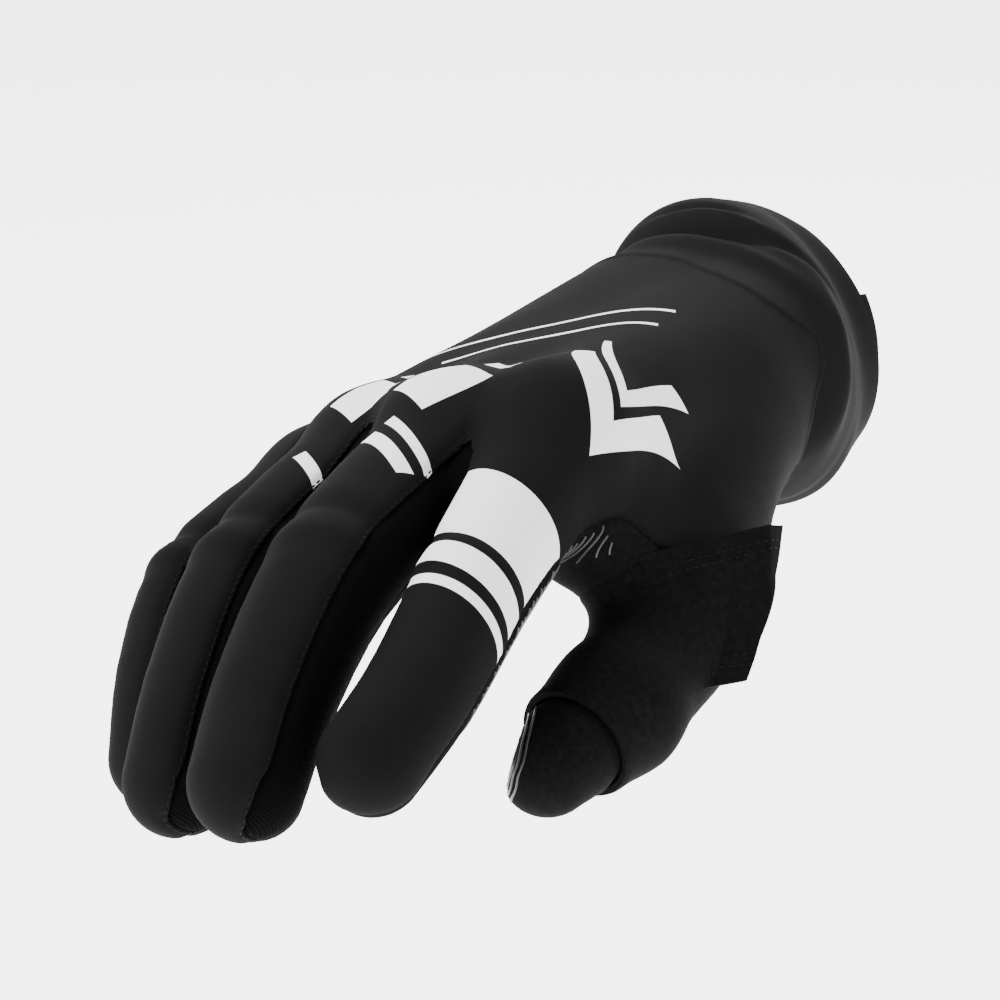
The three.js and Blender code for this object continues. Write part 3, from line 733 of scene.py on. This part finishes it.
# Corners of the printed shapes, counter-clockwise, on the hand's back: x across and y along
hand_shapes = [
    [(12, -133), (24, -140), (32, -127), (20, -120)],
    [(-6, -132), (4, -138), (10, -128), (0, -122)],
    [(-20, -124), (-13, -129), (-8, -121), (-15, -116)],
    [(22, -117), (34, -124), (35.5, -121.5), (23.5, -114.5)],
    [(2, -119), (12, -125), (13.3, -122.7), (3.3, -116.7)],
    [(-13, -113), (-6, -118), (-5, -116), (-12, -111)],
    [(-8, -104), (-7.3, -105.2), (37, -74), (36.3, -72.8)],
    [(4, -108), (4.7, -109.2), (40, -84.4), (39.3, -83.2)],
    [(16, -150), (30, -158), (31.5, -155), (17.5, -147)],
    [(18, -144.5), (32, -152.5), (33, -150.5), (19, -142.5)],
    [(-2, -150), (8, -156), (9.3, -153.5), (-0.7, -147.5)],
]
# Corners of the printed shapes on the index finger: along from the knuckle, and round from its top
index_shapes = [
    [(22, -14), (39, -14), (49, 19), (32, 19)],
    [(42, -14), (47.5, -14), (57.5, 19), (52, 19)],
    [(50.5, -14), (53, -14), (63, 19), (60.5, 19)],
    [(-16, -4), (12, 12), (3, 12), (-16, 2.5)],
    [(12, 12), (-12, 28), (-12, 21), (3, 12)],
    [(-24, 1), (-1, 12), (-6.5, 12), (-24, 5)],
    [(-1, 12), (-21, 25), (-21, 21), (-6.5, 12)],
]


def inside_shape(chart, corners):
    """Distance inside a convex shape, from the nearest of its sides."""
    sides = []
    for (x0, y0), (x1, y1) in zip(corners, corners[1:] + corners[:1]):
        length = math.hypot(x1 - x0, y1 - y0)
        nx = -(y1 - y0) / length
        ny = (x1 - x0) / length
        inputs = {0: chart["Vector"], 1: (nx, ny, -(nx * x0 + ny * y0))}
        sides.append(add("ShaderNodeVectorMath", inputs, operation="DOT_PRODUCT")["Value"])
    return reduce(lambda a, b: maths(add, "MINIMUM", a, b), sides)


shapes = [inside_shape(hand_chart, corners) for corners in hand_shapes]
shapes += [inside_shape(index_chart, corners) for corners in index_shapes]
printed = reduce(lambda a, b: maths(add, "MAXIMUM", a, b), shapes)
print_range = {"Value": printed, "From Min": -print_edge, "From Max": print_edge}
print_share = add("ShaderNodeMapRange", print_range)["Result"]
waves = {"Vector": hand_chart["Vector"], "Scale": 1 / twill_pitch / 3, "Distortion": 0.4}
twill = add("ShaderNodeTexWave", waves, bands_direction="DIAGONAL")["Fac"]
black = blend(add, noise(add, 90, 5), (0.0026, 0.0026, 0.0027, 1), (0.0047, 0.0047, 0.0049, 1))
# The print's white turns darker in the twill's grooves, where the relief is low: painted shade.
white = blend(add, twill, white_painted_shade, white_print)
relief = maths(add, "ADD", twill, noise(add, 1400, 3))
printed_cloth = blend(add, print_share, black, white)
dress(relief, strength=0.25, distance=0.0001, blended=printed_cloth)

back_columns = {"hand_chart": both_sides(back["hand_chart"]), "index_chart": both_sides(back["index_chart"])}
back_panel = piece_object("back_panel_cloth", points, tris, stretch, back_columns)
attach(back_panel, "root")
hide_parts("back_panel")

# Palm panel
# Black synthetic suede lies under the palm and the fingers, and shows along the index finger's thumb side.
# It is sewn to the back panel at the hand's sides and to the lower edges of the finger strips.
palm_thickness = 1.1
palm = panel(-skin["sheet"] - seam_slit, *not_strips, outside_thumb, skin["hem"], rows=seam_rows)
palm_seams = np.min([-palm["sheet"], *[-palm[name] for name in strips]], axis=0)
points, tris = walled(palm, cloth_height(palm, palm_seams), palm_thickness)
palm_outside = points[:len(palm["at"])]

suede, add, dress = new_material("suede_leather", (0.0026, 0.0026, 0.0025), roughness=0.9, specular=0.05)
patches = noise(add, 160, 6, 0.65)
speckle_range = {"Value": noise(add, 850, 2), "From Min": 0.35, "From Max": 0.75}
specks = add("ShaderNodeMapRange", speckle_range)["Result"]
paler = maths(add, "MULTIPLY", patches, specks)
suede_colour = blend(add, paler, (0.002, 0.002, 0.002, 1), (0.0064, 0.0062, 0.006, 1))
nap = maths(add, "ADD", patches, noise(add, 1700, 4, 0.7))
dress(nap, strength=0.45, distance=0.00015, blended=suede_colour)

palm_panel = piece_object("palm_panel_suede", points, tris, suede, {})
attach(palm_panel, "root")
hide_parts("palm_panel")

# Finger strips
# Three strips of black rib knit run between neighbouring fingers and round their crotches.
# Each is sewn to the back panel along its upper edge and to the palm along its lower edge.
strip_thickness = 0.9
strip_raised = -0.1
strip_seam_depth = 0.95
rib_pitch = 0.45
pleats = (-1.5, 2, 5)
pleat_depth = 0.7
pleat_width = 0.6
pleat_fade = (18, 32)
knit, add, dress = new_material("rib_knit", (0.0014, 0.0014, 0.0015), roughness=0.95, specular=0.02)
ribs_at = add("ShaderNodeAttribute", attribute_name="rib_chart")["Vector"]
rib_waves = {"Vector": ribs_at, "Scale": 1 / rib_pitch / 3}
ribs = add("ShaderNodeTexWave", rib_waves, bands_direction="X")["Fac"]
# The knit is darker in the grooves between its ribs, where the relief is low: painted shade.
rib_painted_shade = blend(add, ribs, (0.0008, 0.0008, 0.0008, 1), (0.0026, 0.0026, 0.0027, 1))
dress(ribs, strength=0.6, distance=0.00015, blended=rib_painted_shade)

for name in strips:
    strip = panel(skin[name] - seam_slit, rows=seam_rows)
    strip_height = groove(strip["edge"], strip_seam_depth, seam_width) + strip_raised
    past_crotch = smooth_step(strip[f"{name}_along"], *pleat_fade)
    for pleat in pleats:
        strip_height += groove(strip[f"{name}_across"] - pleat, pleat_depth, pleat_width) * (1 - past_crotch)
    points, tris = walled(strip, strip_height, strip_thickness)
    rib_chart = np.zeros((len(strip["at"]), 3))
    rib_chart[:, 0] = strip[f"{name}_along"]
    made = piece_object(f"fourchette_{name}_knit", points, tris, knit, {"rib_chart": both_sides(rib_chart)})
    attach(made, "root")
    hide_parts(f"fourchette_{name}")

# Thumb leather
# A sheath of the same suede is wrapped round the base of the thumb and laid over the cloth beside it.
# Its cut edge stands proud of the thumb's cap.
sheath_thickness = 1.1
sheath_rise = 0.6
edge_rise = 0.8
edge_band = 4
top_seam_depth = 0.3
top_seam_width = 0.5
crease_height = 0.4
overlap = 1.5
sheath_rows = (0.7, 1.6, 3.2)
sheath = panel(skin["thumb_part"] + overlap, -skin["past_edge"], rows=sheath_rows)
sheath_height = sheath_rise + edge_rise * bell(sheath["past_edge"], edge_band)
sheath_height += groove(sheath["edge"], top_seam_depth, top_seam_width)
place, along, side = sheath["thumb"].T[:3]
sheath_height += crease_height * np.sin(along / 4.6 - side / 4 + 1) * bell(place - 1.15, 0.45)
points, tris = walled(sheath, sheath_height, sheath_thickness)

# Its outer layer stands off the thumb as a flat flap: the flap's corners, the least height of its left and
# right sides over the hand, and the greatest height down its right side
flap_corners = {
    "top": [np.array([56.4, -120.4, -10.8]), np.array([72.2, -86.4, -7.8])],
    "bottom": [np.array([71.8, -123.8, -33.5]), np.array([77, -112.5, -33.4])],
}
flap_steps = 48
flap_thickness = 1.0
flap_rounds = 4
flap_least = (0.3, 1.5)
flap_blend = 0.5
flap_most = {"down": [0, 0.35, 0.75, 1], "height": [7, 4.7, 5.4, 7]}


def on_flap(across, down):
    """Points on the flap: on its flat plane, but never in the thumb nor far off it."""
    across = across[:, None]
    down = down[:, None]
    top, bottom = (left * (1 - across) + right * across for left, right in flap_corners.values())
    at = top * (1 - down) + bottom * down
    rise = smooth_step(across[:, 0], 0, flap_blend)
    least = flap_least[0] + (flap_least[1] - flap_least[0]) * rise
    most = np.interp(down[:, 0], *flap_most.values())
    most = flap_least[0] + (most - flap_least[0]) * rise
    for _ in range(flap_rounds):
        height = hand_distance(at)
        at = at + facing(at, hand_distance) * (np.clip(height, least, most) - height)[:, None]
    return at


flap_row, flap_column = np.divmod(np.arange(flap_steps**2), flap_steps)
flap_at = on_flap(flap_column / (flap_steps - 1), flap_row / (flap_steps - 1))
flap_grid = flap_at.reshape(flap_steps, flap_steps, 3)
flap_normal = np.cross(np.gradient(flap_grid, axis=0), np.gradient(flap_grid, axis=1)).reshape(-1, 3)
flap = {"at": flap_at, "normal": flap_normal, "tris": grid_tris(flap_steps, flap_steps)}
flap_points, flap_tris = walled(flap, 0, flap_thickness)
tris = np.concatenate([tris, flap_tris + len(points)])
points = np.concatenate([points, flap_points])
thumb_leather = piece_object("thumb_panel_suede", points, tris, suede, {})
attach(thumb_leather, "root")
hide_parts("thumb_panel")

# Thumb cap
# The thumb's cap is a softer leather piece over its last joint and tip. It comes out of the sheath, which
# presses it in a little there.
cap_inside = 5
cap_from_top = 0.2
cap_raised = 0.1
cap_dip = 0.9
cap_dip_band = (-2.5, 1)
cap_thickness = 1.0
cap = panel(skin["thumb_part"] - cap_from_top, skin["past_edge"] + cap_inside)

# Its outer side is flattened by a plane, softly
cap_flat = {"at": np.array([60.7, -161.4, -36.3]), "facing": np.array([-0.8, -0.54, 0.25])}
flat_blend = 0.8
past_flat = past_plane(cap["at"], cap_flat)
cap_height = cap_raised - cap_dip * smooth_step(-cap["past_edge"], *cap_dip_band)
cap_height -= (past_flat + np.hypot(past_flat, flat_blend)) / 2
points, tris = walled(cap, cap_height, cap_thickness)
cap_outside = points[:len(cap["at"])]
thumb_cap = piece_object("thumb_tip_suede", points, tris, suede, {})
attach(thumb_cap, "root")
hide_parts("thumb_tip")

# Cuff
# A smooth stretch cloth cuff is sewn under the hem at the wrist. It is pushed back a little, so that it
# bulges in soft folds round the wrist, and its rim is open.
cuff_thickness = 1.5
cuff_sides = 160
cuff_rows = 70

# Rings from the rim in: y, x and z of the centre, half width and height, how far they lean, and how closely
# they follow the wrist's form
ring_names = ("x", "z", "half_width", "half_height", "lean", "follow")
cuff_rings = [
    (0, 0, 0, 32.2, 27, 0.12, 0),
    (-8, 0.5, -0.5, 33, 31, 0.12, 0),
    (-17, 4, 0, 34, 33.5, 0.06, 0),
    (-25, 7.5, 0.8, 34, 33, 0.02, 0.25),
    (-31, 11, 0, 33.5, 29.8, 0, 0.7),
    (-38, 12.5, 0.5, 32, 26, 0, 1),
    (-50, 12.5, 0.5, 32, 26, 0, 1),
]

# How far the cuff lies under the hem, and from which y and how steeply it sinks further below the palm
under_hem = 0.45
sink_from = -43
sink_slope = 0.35


def smooth_through(x, at, values):
    """Smooth curve through values, with each point's slope taken from its neighbours."""
    slopes = np.gradient(np.array(values, float), at)
    k = np.clip(np.searchsorted(at, x) - 1, 0, len(at) - 2)
    width = at[k + 1] - at[k]
    t = (x - at[k]) / width
    v = np.array(values, float)
    rise = (2 * t**3 - 3 * t**2 + 1) * v[k] + (-2 * t**3 + 3 * t**2) * v[k + 1]
    return rise + width * ((t**3 - 2 * t**2 + t) * slopes[k] + (t**3 - t**2) * slopes[k + 1])


ring_y, *ring_columns = np.array(cuff_rings, float).T
rows_y = np.linspace(0, ring_y[-1], cuff_rows)
at_row = {name: smooth_through(-rows_y, -ring_y, column) for name, column in zip(ring_names, ring_columns)}
row_index, side_index = np.divmod(np.arange(cuff_rows * cuff_sides), cuff_sides)
round_angle = side_index / cuff_sides * 2 * math.pi
ring = {name: values[row_index] for name, values in at_row.items()}
spread = ring["half_width"] - ring["half_height"]
ring_z = ring["half_height"] * np.sin(round_angle)
ring_x = np.sign(np.cos(round_angle)) * spread + ring["half_height"] * np.cos(round_angle)
ring_x -= ring["lean"] * ring_z
cuff_centre = np.stack([ring["x"], rows_y[row_index], ring["z"]], 1)
offset = np.stack([ring_x, np.zeros_like(ring_x), ring_z], 1)
reach = np.linalg.norm(offset, axis=1)
outward = offset / reach[:, None]

# How far the wrist's surface is from each centre: a range of distances, halved until it is narrow
past_wrist = 60.0
halvings = 20
low = np.zeros(len(reach))
high = np.full(len(reach), past_wrist)
for _ in range(halvings):
    middle = (low + high) / 2
    inside = hand_distance(cuff_centre + outward * middle[:, None]) < 0
    low = np.where(inside, middle, low)
    high = np.where(inside, high, middle)
follow = np.clip(ring["follow"], 0, 1)
sink = sink_slope * np.clip(sink_from - cuff_centre[:, 1], 0, None) * np.clip(-np.sin(round_angle), 0, 1)
reach = reach * (1 - follow) + (low - under_hem - sink) * follow
cuff_at = cuff_centre + outward * reach[:, None]
cuff = {"at": cuff_at, "normal": outward, "tris": grid_tris(cuff_rows, cuff_sides, closed=True)}

# Folds: y and angle of the middle, slope and bend away from it, span in degrees, width, and height
folds = [
    (-22, 99, 0, 0, 18, 1.4, -2.0),
    (-28, 100, 0, 0.0021, 48, 1.6, -3.6),
    (-33, 92, 0, 0.0015, 55, 2.6, 1.5),
    (-25, 84, 0.05, 0, 26, 2.2, 1.0),
    (-37, -8, 0.05, 0, 32, 3.4, -3.2),
    (-28, 8, 0.1, 0, 34, 3.0, 1.2),
    (-20, -95, 0.05, 0, 60, 2.6, -1.6),
    (-20, 175, -0.06, 0, 40, 2.6, -1.5),
    (-6, 74, 0, 0, 24, 8, 1.8),
    (-12, -48, 0, 0, 24, 9, 1.3),
]
cuff_ripple = 0.1
cuff_height = cuff_ripple * np.sin(cuff_at[:, 1] / 3.1 + 2 * np.sin(round_angle)) * (1 - follow)
for y, angle, slope, bend, span, width, height in folds:
    off = (np.degrees(round_angle) - angle + 180) % 360 - 180
    cuff_height += height * bell(cuff_at[:, 1] - y - slope * off - bend * off**2, width) * bell(off, span)
points, tris = walled(cuff, cuff_height, cuff_thickness)

cuff_cloth, add, dress = new_material("cuff_stretch", (0.004, 0.004, 0.0043), roughness=0.75, specular=0.03)
cuff_colour = blend(add, noise(add, 60, 4), (0.0044, 0.0044, 0.0046, 1), (0.0074, 0.0075, 0.0078, 1))
dress(noise(add, 1500, 3), strength=0.2, distance=0.0001, blended=cuff_colour)
cuff_piece = piece_object("cuff_cloth", points, tris, cuff_cloth, {})
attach(cuff_piece, "root")
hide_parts("cuff")

# Pull tab
# A short doubled tape is sewn inside the cuff's rim on the thumb's side, for pulling the glove on.
tab_length = 15
tab_width = 18
tab_corner = 5
tab_thickness = 1.4
tab_round = 0.4
tab_edge = 0.6
tab_beyond = 2.9
tab_skew = 0.1
tab_rise = 4
tab_gap = 0.5
tab_flare = 0.3
tab_tilt = 0.2
tab_steps = (22, 26)
tab_row, tab_column = np.divmod(np.arange(tab_steps[0] * tab_steps[1]), tab_steps[1])
along_tab = tab_row / (tab_steps[0] - 1) * tab_length
into_corner = np.maximum(along_tab - (tab_length - tab_corner), 0)
tab_half = tab_width / 2 - tab_corner + np.sqrt(tab_corner**2 - into_corner**2)
tab_z = tab_rise + (tab_column / (tab_steps[1] - 1) * 2 - 1) * tab_half
tab_y = tab_beyond - along_tab + tab_skew * (tab_z - tab_rise)
tab_ring = {key: np.interp(-tab_y, -rows_y, values) for key, values in at_row.items()}
tab_up = (tab_z - tab_ring["z"]) / tab_ring["half_height"]
tab_out = np.sqrt(1 - tab_up**2)
tab_side = tab_ring["half_width"] - tab_ring["half_height"] * (1 - tab_out)
tab_x = tab_ring["x"] + tab_side - tab_ring["lean"] * (tab_z - tab_ring["z"]) - cuff_thickness - tab_gap
tab_x += tab_flare * np.maximum(tab_y, 0)
tab = {
    "at": np.stack([tab_x, tab_y, tab_z], 1),
    "normal": np.stack([tab_out, np.full_like(tab_x, tab_tilt), tab_up], 1),
    "tris": grid_tris(*tab_steps),
}
from_side = tab_half - np.abs(tab_z - tab_rise)
from_end = np.minimum(along_tab, tab_length - along_tab)
edge_thinning = tab_round * bell(np.minimum(from_side, from_end), tab_edge)
points, tris = walled(tab, -edge_thinning, tab_thickness - 2 * edge_thinning)

tape, add, dress = new_material("tab_tape", (0.0035, 0.0035, 0.0036), roughness=0.8, specular=0.1)
tape_waves = {"Vector": add("ShaderNodeTexCoord")["Object"], "Scale": 700.0, "Distortion": 0.3}
weave = add("ShaderNodeTexWave", tape_waves, bands_direction="Z")["Fac"]
dress(weave, strength=0.4, distance=0.0001)
pull_tab = piece_object("pull_tab_tape", points, tris, tape, {})
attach(pull_tab, "root")
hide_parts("pull_tab")

# Stitches
# Short thread bumps of black polyester lie in the seams' grooves and in double rows on the thumb leather.
stitch_pitch = 1.8
stitch_length = 1.3
stitch_width = 0.4
tiny = 1e-6


def level_lines(tris, points, values, levels, near):
    """Points and edges of the lines where values pass each level, on triangles where near is above zero."""
    tris = tris[(near[tris] > 0).all(1)]
    line_points = []
    line_edges = []
    total = 0
    for level in levels:
        value = values - level
        value[value == 0] = tiny
        ends = tris[:, triangle_sides]
        split = value[ends[:, :, 0]] * value[ends[:, :, 1]] < 0
        a, b, which = distinct_edges(ends[split], len(values))
        share = (value[a] / (value[a] - value[b]))[:, None]
        line_points.append(points[a] + (points[b] - points[a]) * share)
        line_edges.append(which.reshape(-1, 2) + total)
        total += len(a)
    return np.concatenate(line_points), np.concatenate(line_edges)


def joined_lines(parts):
    """One table of points and one of edges from several."""
    starts = np.cumsum([0] + [len(points) for points, _ in parts])
    edges = [edges + start for (_, edges), start in zip(parts, starts)]
    return np.concatenate([points for points, _ in parts]), np.concatenate(edges)


def line_nodes(name, inputs):
    """A node tree for lines with named number inputs, a way to add nodes, its inputs, and its curves."""
    tree = bpy.data.node_groups.new(name, "GeometryNodeTree")
    tree.interface.new_socket("Geometry", in_out="INPUT", socket_type="NodeSocketGeometry")
    for label in inputs:
        tree.interface.new_socket(label, in_out="INPUT", socket_type="NodeSocketFloat")
    tree.interface.new_socket("Geometry", in_out="OUTPUT", socket_type="NodeSocketGeometry")
    add = node_adder(tree)
    given = add("NodeGroupInput")
    return tree, add, given, add("GeometryNodeMeshToCurve", {"Mesh": given["Geometry"]})["Curve"]


def end_tree(add, geometry, material):
    """Ends a node tree: makes its geometry real and gives it its material."""
    real = add("GeometryNodeRealizeInstances", {"Geometry": geometry})["Geometry"]
    painted = add("GeometryNodeSetMaterial", {"Geometry": real, "Material": material})["Geometry"]
    add("NodeGroupOutput", {"Geometry": painted})


def lines_made(name, points, edges, tree, values):
    """The plain mesh that a line tree makes from points and edges."""
    source_mesh = bpy.data.meshes.new(f"{name}_lines")
    source_mesh.from_pydata(points * mm, edges, [])
    source = linked(f"{name}_lines", source_mesh)
    modifier = source.modifiers.new("lines", "NODES")
    modifier.node_group = tree
    for item in tree.interface.items_tree:
        if item.item_type == "SOCKET" and item.name in values:
            modifier[item.identifier] = float(values[item.name])
    graph = bpy.context.evaluated_depsgraph_get()
    mesh = bpy.data.meshes.new_from_object(source.evaluated_get(graph))
    mesh.name = name
    bpy.data.objects.remove(source)
    return linked(name, mesh)


thread = new_material("black_thread", (0.0022, 0.0022, 0.0023), roughness=0.65, specular=0.08)[0]
stitch_tree, add, given, curve = line_nodes("stitch_row", ["Pitch", "Length", "Width"])
spots = add("GeometryNodeCurveToPoints", {"Curve": curve, "Length": given["Pitch"]}, mode="LENGTH")
bead = add("GeometryNodeMeshUVSphere", {"Segments": 8, "Rings": 5, "Radius": 0.5})["Mesh"]
smooth_bead = add("GeometryNodeSetShadeSmooth", {"Geometry": bead})["Geometry"]
size_of = {"X": given["Width"], "Y": given["Width"], "Z": given["Length"]}
size = add("ShaderNodeCombineXYZ", size_of)["Vector"]
rows_of = {"Points": spots["Points"], "Instance": smooth_bead, "Rotation": spots["Rotation"], "Scale": size}
end_tree(add, add("GeometryNodeInstanceOnPoints", rows_of)["Instances"], thread)

# One row lies beside the back panel's seams, clear of the hem and of the thumb leather
seam_row = 0.3
near_row = 0.9
clear_of_ends = 2.5
beside_seams = np.minimum(back["hem"], under_leather - back["thumb_part"]) - clear_of_ends
near_seam = np.where(seam_edge < near_row, beside_seams, -1)
stitch_parts = [level_lines(back["tris"], back_outside, back["edge"], [seam_row], near_seam)]

# Double rows on the flap, each a path of shares across and down
flap_row_points = 60
flap_rows = [
    [(0.97, 0.1), (0.1, 0.12)],
    [(0.97, 0.16), (0.1, 0.18)],
    [(0.95, 0.9), (0.45, 0.88), (0.38, 0.97)],
    [(0.95, 0.83), (0.4, 0.81), (0.32, 0.97)],
]
for path in flap_rows:
    path = np.array(path, float)
    steps = np.linspace(0, len(path) - 1, flap_row_points)
    across = np.interp(steps, range(len(path)), path[:, 0])
    down = np.interp(steps, range(len(path)), path[:, 1])
    order = np.arange(len(steps) - 1)
    stitch_parts.append((on_flap(across, down), np.stack([order, order + 1], 1)))
line_points, line_edges = joined_lines(stitch_parts)
stitch_sizes = {"Pitch": stitch_pitch * mm, "Length": stitch_length * mm, "Width": stitch_width * mm}
stitches = lines_made("seam_stitches", line_points, line_edges, stitch_tree, stitch_sizes)
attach(stitches, "root")

# Silicone lines
# Glossy black silicone is printed in thin raised lines on the leather beside the index finger and on the
# thumb's cap, for grip.
silicone_width = 0.55
silicone_step = 0.7
silicone = new_material("glossy_silicone", (0.014, 0.014, 0.015), roughness=0.28, specular=0.5)[0]
tube_tree, add, given, curve = line_nodes("silicone_line", ["Step", "Radius"])
even_of = {"Curve": curve, "Length": given["Step"]}
even = add("GeometryNodeResampleCurve", even_of, mode="LENGTH")["Curve"]
round_of = {"Resolution": 6, "Radius": given["Radius"]}
profile = add("GeometryNodeCurvePrimitiveCircle", round_of)["Curve"]
tube_of = {"Curve": even, "Profile Curve": profile, "Fill Caps": True}
tube = add("GeometryNodeCurveToMesh", tube_of)["Mesh"]
end_tree(add, add("GeometryNodeSetShadeSmooth", {"Geometry": tube})["Geometry"], silicone)

# Slanted strokes beside the index finger: the places of the first and last on the finger, their spacing,
# slant and waviness, and the band below the seam that they fill, clear of the finger's middle and the thumb
stroke_places = (0.3, 2.1)
stroke_pitch = 1.9
stroke_slant = 0.8
stroke_wave = 0.5
stroke_band = (0.9, 8)
stroke_side = 3
clear_of_thumb = 1.5
mm_for_each_joint = 20
stroke_run = (1, 72)
about = palm["index"]
depth = -palm["sheet"]
on_band = np.min([
    depth - stroke_band[0],
    stroke_band[1] - depth,
    about[:, SIDE] - stroke_side,
    (about[:, PLACE] - stroke_places[0]) * mm_for_each_joint,
    (stroke_places[1] - about[:, PLACE]) * mm_for_each_joint,
    -palm["thumb_part"] - clear_of_thumb,
], axis=0)
strokes_at = about[:, ALONG] - stroke_slant * depth + stroke_wave * np.sin(depth * 0.9)
stroke_levels = np.arange(*stroke_run, stroke_pitch)
silicone_parts = [level_lines(palm["tris"], palm_outside, strokes_at, stroke_levels, on_band)]

# Nearly straight lines along the flattened side of the thumb's cap
cap_levels = [-1.1, -0.1, 0.9, 1.8]
cap_wave = 0.12
clear_of_sheath = 1
cap_front = cap["past_edge"] - clear_of_sheath
cap_lines_at = past_flat + cap_wave * np.sin(cap["thumb"][:, LIFT] * 1.3)
silicone_parts.append(level_lines(cap["tris"], cap_outside, cap_lines_at, cap_levels, cap_front))
line_points, line_edges = joined_lines(silicone_parts)
tube_sizes = {"Step": silicone_step * mm, "Radius": silicone_width / 2 * mm}
silicone_lines = lines_made("silicone_lines", line_points, line_edges, tube_tree, tube_sizes)
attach(silicone_lines, "root")
